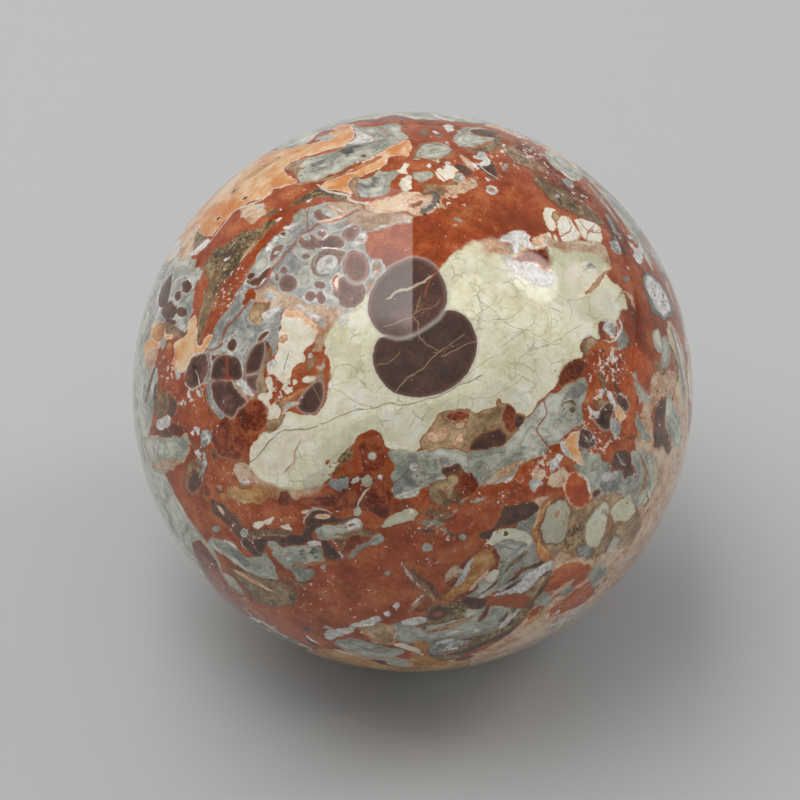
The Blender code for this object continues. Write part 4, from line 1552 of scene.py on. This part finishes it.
def jasper_material(settings):
    """Polished jasper: dense silica, ground and buffed until it mirrors the lamps.

    The colour lies just under a flat, glassy surface, so reflections are sharp (roughness near
    0.03, index 1.54 for quartz) and the pattern shows through them.
    """
    material = bpy.data.materials.new("Polished jasper, buffed to a mirror")
    material.use_nodes = True
    tree = material.node_tree
    tree.nodes.clear()
    place = add_node(tree, "TexCoord").outputs["Object"]
    noise, fine_noise = stone_noise(tree, place)
    bent = add_node(tree, "VectorMath", {0: fine_noise, 1: (1.2 * MM,) * 3, 2: place},
                    operation="MULTIPLY_ADD").outputs[0]
    cracks = hair_cracks(tree, bent, noise["cloud"][0])
    colour, depths = mosaic(tree, noise, cracks)
    colour = laid_over(tree, colour, speck_layers(tree, bent))
    colour = laid_over(tree, colour, vein_layers(tree, noise))

    # Each piece's own shade makes all its colours paler or darker, but never black; on the orbs
    # under the soft panel's reflection, part of that paleness is painted reflection
    shade = add_node(tree, "Attribute", attribute_name="shade").outputs["Fac"]
    bright = add_node(tree, "Math", {0: shade, 1: 1.4, 2: 1.0}, operation="MULTIPLY_ADD").outputs[0]
    bright = add_node(tree, "Math", {0: bright, 1: 0.15}, operation="MAXIMUM").outputs[0]
    colour = add_node(tree, "VectorMath", {0: colour, "Scale": bright},
                      operation="SCALE").outputs[0]
    colour = laid_over(tree, colour, skin_layers(tree, depths))

    # The buffed surface still has a faint wave where hard and soft stone meet
    height = add_node(tree, "Math", {0: noise["mottle"][2], 1: noise["cloud"][2]},
                      operation="ADD").outputs[0]
    bump = add_node(tree, "Bump", {"Height": height, "Strength": settings.wave,
                                   "Distance": 0.01 * MM})
    shader = add_node(tree, "BsdfPrincipled", {
        "Base Color": colour, "Roughness": settings.roughness, "IOR": settings.index,
        "Normal": bump.outputs["Normal"]})
    add_node(tree, "OutputMaterial", {"Surface": shader.outputs["BSDF"]})
    return material


class JasperStoneSettings(bpy.types.PropertyGroup):
    """Sizes and finish of the ball."""

    roughness: bpy.props.FloatProperty(
        name="Roughness", description="How dull the buffed surface is, 0 for a mirror",
        default=0.03, min=0.0, max=1.0)
    index: bpy.props.FloatProperty(
        name="Index", description="Refractive index of the stone, 1.54 for quartz",
        default=1.54, min=1.0, max=2.5)
    wave: bpy.props.FloatProperty(
        name="Wave", description="Faint unevenness of the buffed surface",
        default=0.2, min=0.0, max=1.0)
    rows: bpy.props.IntProperty(
        name="Rows", description="Rows of faces on each of the six sides of the ball's grid",
        default=128, min=8, max=128)
    front_detail: bpy.props.FloatProperty(
        name="Front detail", description="Size of the front faces against an even grid",
        default=0.62, min=0.3, max=1.0)
    seed: bpy.props.IntProperty(
        name="Seed", description="Start of the random draws for the scattered pieces",
        default=11, min=0)


class JasperStageSettings(bpy.types.PropertyGroup):
    """Floor, lamps and room light."""

    floor_colour: bpy.props.FloatVectorProperty(
        name="Floor colour", description="Pale paper under the ball",
        subtype="COLOR", size=3, min=0.0, max=1.0, default=linear("#C2C5C6"))
    floor_size: bpy.props.FloatProperty(
        name="Floor size", description="Length of the floor's sides",
        default=12.0, min=1.0, unit="LENGTH")
    panel_light: bpy.props.FloatProperty(
        name="Panel light", description="Radiance of the soft panel at its bright edge",
        default=4.2, min=0.0)
    lamp_light: bpy.props.FloatProperty(
        name="Lamp light", description="Radiance of the small round lamp on the right",
        default=5.0, min=0.0)
    room_light: bpy.props.FloatProperty(
        name="Room light", description="Strength of the light from the room all round",
        default=1.0, min=0.0)


def mesh_object(name, points, faces):
    """A new object in the scene with this mesh."""
    data = bpy.data.meshes.new(name)
    data.from_pydata([tuple(p) for p in points], [], [tuple(f) for f in faces])
    data.update()
    made = bpy.data.objects.new(name, data)
    bpy.context.scene.collection.objects.link(made)
    return made


def paint_stones(directions, seed):
    """The whole map of stones: random pieces first, then those the photograph shows."""
    rng = np.random.default_rng(seed)
    painted = StoneMap(directions, rng)
    for piece, line in scattered_pieces(rng):
        painted.add_piece(piece, line)
    behind = np.clip(FRONT - directions @ CAMERA_AXES[2], 0, FRONT) / FRONT
    painted.flecks += behind * np.clip(waves(directions, 24.0, rng) * 0.4, 0, 0.7)
    painted.shade += behind * waves(directions, 30.0, rng) * 0.04
    chips_under = chips_of(CHIPS_UNDER, rng)
    chips_over = chips_of(CHIPS_OVER, rng)
    for piece in (*GROUNDS, *chips_under, *PIECES, *chips_over):
        painted.add_piece(piece, photo_to_ball(closed_curve(piece.outline, piece.rounded)))
    for sort, veins in VEIN_LINES.items():
        for (width,), points in lines_of(veins):
            painted.add_vein(sort, float(width), points)
    painted.add_spots(painted.flecks, FLECKED)
    painted.add_spots(painted.shade, TONED)
    painted.add_spots(painted.soft, SOFTENED)
    return painted


class JASPER_OT_add_stone(bpy.types.Operator):
    """Adds the polished ball with its mosaic of stones."""

    bl_idname = "jasper.add_stone"
    bl_label = "Add the jasper ball"

    def execute(self, context):
        settings = context.scene.jasper_stone
        directions, faces, uv = cube_ball(settings.rows, settings.front_detail)
        points = BALL_MIDDLE + directions * BALL_RADIUS
        points[:, 2] = np.maximum(points[:, 2], BALL_LOW.z)
        ball = mesh_object("polished_jasper_ball", points, faces)
        data = ball.data
        data.polygons.foreach_set("use_smooth", np.ones(len(faces), bool))
        layer = data.uv_layers.new(name="OFBake")
        layer.data.foreach_set("uv", uv.astype(np.float32).ravel())
        painted = paint_stones(directions, settings.seed)
        numbers = {"depth_" + name: values for name, values in painted.depth.items()}
        numbers["shade"] = painted.shade
        numbers["flecks"] = painted.flecks
        numbers["soft"] = painted.soft
        for name, values in numbers.items():
            kept = data.attributes.new(name, "FLOAT", "POINT")
            kept.data.foreach_set("value", values.astype(np.float32))
        for name, values in painted.veins.items():
            kept = data.attributes.new(name, "FLOAT_VECTOR", "POINT")
            kept.data.foreach_set("vector", values.astype(np.float32).ravel())
        data.materials.append(jasper_material(settings))
        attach(ball, "root")
        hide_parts(BALL_NODE)
        return {"FINISHED"}


def glow_material(name, light, spread):
    """A lamp's face: white cloth with light behind it, brighter where spread says."""
    material = bpy.data.materials.new(name)
    material.use_nodes = True
    tree = material.node_tree
    tree.nodes.clear()
    place = add_node(tree, "TexCoord").outputs["UV"]
    strength = spread(tree, place, light)
    glow = add_node(tree, "Emission", {"Color": (1.0, 0.98, 0.96, 1.0), "Strength": strength})
    add_node(tree, "OutputMaterial", {"Surface": glow.outputs[0]})
    return material


class JASPER_OT_add_stage(bpy.types.Operator):
    """Adds the pale floor, the lamps, the room light and the camera."""

    bl_idname = "jasper.add_stage"
    bl_label = "Add the stage"

    def execute(self, context):
        settings = context.scene.jasper_stage
        half = settings.floor_size / 2
        floor = mesh_object("pale_floor", [(-half, -half, 0), (half, -half, 0), (half, half, 0),
                                           (-half, half, 0)], [(0, 1, 2, 3)])
        floor.data.materials.append(paper_material(settings))
        add_lamps(settings)
        light_room(context.scene, settings)
        add_camera(context.scene)
        context.scene.view_settings.view_transform = "Standard"
        return {"FINISHED"}


def paper_material(settings):
    """Matt paper board: no gloss, an even pale colour."""
    material = bpy.data.materials.new("Matt paper board, rolled out")
    material.use_nodes = True
    shader = material.node_tree.nodes["Principled BSDF"]
    shader.inputs["Base Color"].default_value = (*settings.floor_colour, 1.0)
    shader.inputs["Roughness"].default_value = 0.75
    return material


# The soft panel's corners as seen from the ball: right top, right foot, left foot, left top. The
# lamp is given by its direction from the ball, and so is the middle of the pale glow in front.
PANEL_CORNERS = ((0.0, 0.612, 0.792), (0.0, -0.349, 0.595), (-0.9, -0.016, 0.432),
                 (-0.9, 0.945, 0.629))
PANEL_SCALE = 1.6
LAMP_DIRECTION = (0.682, 0.165, 0.712)
LAMP_DISTANCE = 1.5
LAMP_RADIUS = 0.30
FRONT_GLOW = (0.0, -0.42, 0.907)


def add_panel(name, points, material):
    """A flat glowing panel that lights the ball and shows in its polish, but not to the camera."""
    panel = mesh_object(name, points, [tuple(range(len(points)))])
    panel.data.materials.append(material)
    panel.visible_camera = False
    return panel


def add_lamps(settings):
    """The broad soft panel up on the left and the small round lamp on the right."""
    corners = [BALL_MIDDLE + np.array(corner) * PANEL_SCALE for corner in PANEL_CORNERS]

    def fading(tree, place, light):
        """Brightest along the right edge, dimmer at the foot and towards the top."""
        across, rising, _ = add_node(tree, "SeparateXYZ", {"Vector": place}).outputs
        falling = add_node(tree, "Math", {0: across, 1: 1.15}, operation="POWER").outputs[0]
        foot = add_node(tree, "MapRange", {
            "Value": rising, "From Min": 0.0, "From Max": 0.12,
            "To Min": light * 0.3, "To Max": light}, **SMOOTH).outputs[0]
        upper = add_node(tree, "MapRange", {"Value": rising, "From Min": 0.25, "From Max": 0.85,
                                            "To Min": 1.0, "To Max": 0.5}).outputs[0]
        height = add_node(tree, "Math", {0: foot, 1: upper}, operation="MULTIPLY").outputs[0]
        return add_node(tree, "Math", {0: falling, 1: height}, operation="MULTIPLY").outputs[0]

    panel = add_panel("soft_panel", corners, glow_material("Diffusing cloth, lit from behind",
                                                           settings.panel_light, fading))
    layer = panel.data.uv_layers.new(name="UVMap")
    for corner, place in zip(layer.data, ((1, 1), (1, 0), (0, 0), (0, 1))):
        corner.uv = place

    forward = np.array(LAMP_DIRECTION) / np.linalg.norm(LAMP_DIRECTION)
    middle = BALL_MIDDLE + forward * LAMP_DISTANCE
    side = np.cross(forward, (0, 0, 1))
    side /= np.linalg.norm(side)
    top = np.cross(side, forward)
    turns = np.arange(32) * 2 * math.pi / 32
    ring = [middle + LAMP_RADIUS * (math.cos(t) * side + math.sin(t) * top) for t in turns]

    def soft_edged(tree, place, light):
        """Even in the middle, and fading out towards the rim."""
        away = add_node(tree, "VectorMath", {0: place, 1: (0.5, 0.5, 0.0)},
                        operation="DISTANCE").outputs["Value"]
        return add_node(tree, "MapRange", {"Value": away, "From Min": 0.36, "From Max": 0.5,
                                           "To Min": light, "To Max": 0.0}, **SMOOTH).outputs[0]

    lamp = add_panel("round_lamp", ring, glow_material("Frosted lamp glass", settings.lamp_light,
                                                       soft_edged))
    layer = lamp.data.uv_layers.new(name="UVMap")
    for corner, turn in zip(layer.data, turns):
        corner.uv = (0.5 + 0.5 * math.cos(turn), 0.5 + 0.5 * math.sin(turn))


def light_room(scene, settings):
    """Soft light from all round, with a pale ceiling glow high in front and less low in front."""
    world = bpy.data.worlds.new("Quiet studio")
    scene.world = world
    world.use_nodes = True
    tree = world.node_tree
    tree.nodes.clear()
    place = add_node(tree, "TexCoord").outputs["Generated"]
    _, back, rise = add_node(tree, "SeparateXYZ", {"Vector": place}).outputs
    ramp = add_node(tree, "ValToRGB", {"Fac": rise})
    stops = ramp.color_ramp.elements
    stops.new(0.5)
    for stop, at, level in zip(stops, (0.0, 0.3, 0.9), (0.50, 0.45, 0.38)):
        stop.position = at
        stop.color = (level, level, level, 1.0)
    front = add_node(tree, "MapRange", {"Value": back, "From Min": 0.35, "From Max": -0.45,
                                        "To Min": 0.0, "To Max": 0.50}).outputs[0]
    low = add_node(tree, "MapRange", {"Value": rise, "From Min": 0.6, "From Max": 0.2},
                   **SMOOTH).outputs[0]
    dark = add_node(tree, "Math", {0: front, 1: low}, operation="MULTIPLY").outputs[0]
    above = add_node(tree, "VectorMath", {0: place, 1: FRONT_GLOW}, operation="DOT_PRODUCT")
    glow = add_node(tree, "MapRange", {
        "Value": above.outputs["Value"], "From Min": 0.86, "From Max": 0.98,
        "To Min": 1.0, "To Max": 1.3}, **SMOOTH).outputs[0]
    lit = add_node(tree, "Math", {0: glow, 1: dark}, operation="SUBTRACT").outputs[0]
    lit = add_node(tree, "Math", {0: lit, 1: settings.room_light}, operation="MULTIPLY")
    room = add_node(tree, "Background", {"Color": ramp.outputs["Color"],
                                         "Strength": lit.outputs[0]})
    add_node(tree, "OutputWorld", {"Surface": room.outputs[0]})


def add_camera(scene):
    """The camera, at the photograph's distance and angle."""
    data = bpy.data.cameras.new("photo_camera")
    data.sensor_width = SENSOR_WIDTH
    data.lens = FOCAL_PIXELS * SENSOR_WIDTH / PHOTO_SIZE
    data.shift_x = (PHOTO_SIZE / 2 - OUTLINE_MIDDLE[0]) / PHOTO_SIZE
    data.shift_y = (OUTLINE_MIDDLE[1] - PHOTO_SIZE / 2) / PHOTO_SIZE
    data.clip_start = 0.05
    data.clip_end = 50.0
    camera = bpy.data.objects.new("photo_camera", data)
    scene.collection.objects.link(camera)
    camera.location = BALL_MIDDLE + CAMERA_AXES[2] * CAMERA_DISTANCE
    camera.rotation_euler = (math.pi / 2 - CAMERA_RISE, 0.0, 0.0)
    scene.camera = camera


class JASPER_PT_sidebar(bpy.types.Panel):
    """Lists the pieces and their settings."""

    bl_idname = "JASPER_PT_sidebar"
    bl_label = "Polished jasper ball"
    bl_space_type = "VIEW_3D"
    bl_region_type = "UI"
    bl_category = "Jasper"

    def draw(self, context):
        layout = self.layout
        for operator, settings in (("jasper.add_stone", context.scene.jasper_stone),
                                   ("jasper.add_stage", context.scene.jasper_stage)):
            layout.operator(operator)
            for name in settings.__annotations__:
                layout.prop(settings, name)


CLASSES = (JasperStoneSettings, JasperStageSettings, JASPER_OT_add_stone, JASPER_OT_add_stage,
           JASPER_PT_sidebar)


def register():
    """Registers the classes and their settings."""
    for cls in CLASSES:
        bpy.utils.register_class(cls)
    bpy.types.Scene.jasper_stone = bpy.props.PointerProperty(type=JasperStoneSettings)
    bpy.types.Scene.jasper_stage = bpy.props.PointerProperty(type=JasperStageSettings)


def unregister():
    """Takes the settings and classes away again."""
    del bpy.types.Scene.jasper_stage
    del bpy.types.Scene.jasper_stone
    for cls in reversed(CLASSES):
        bpy.utils.unregister_class(cls)


def main():
    """Builds the ball and its stage."""
    register()
    bpy.ops.jasper.add_stone()
    bpy.ops.jasper.add_stage()
    bpy.context.view_layer.update()


if __name__ == "__main__":
    main()
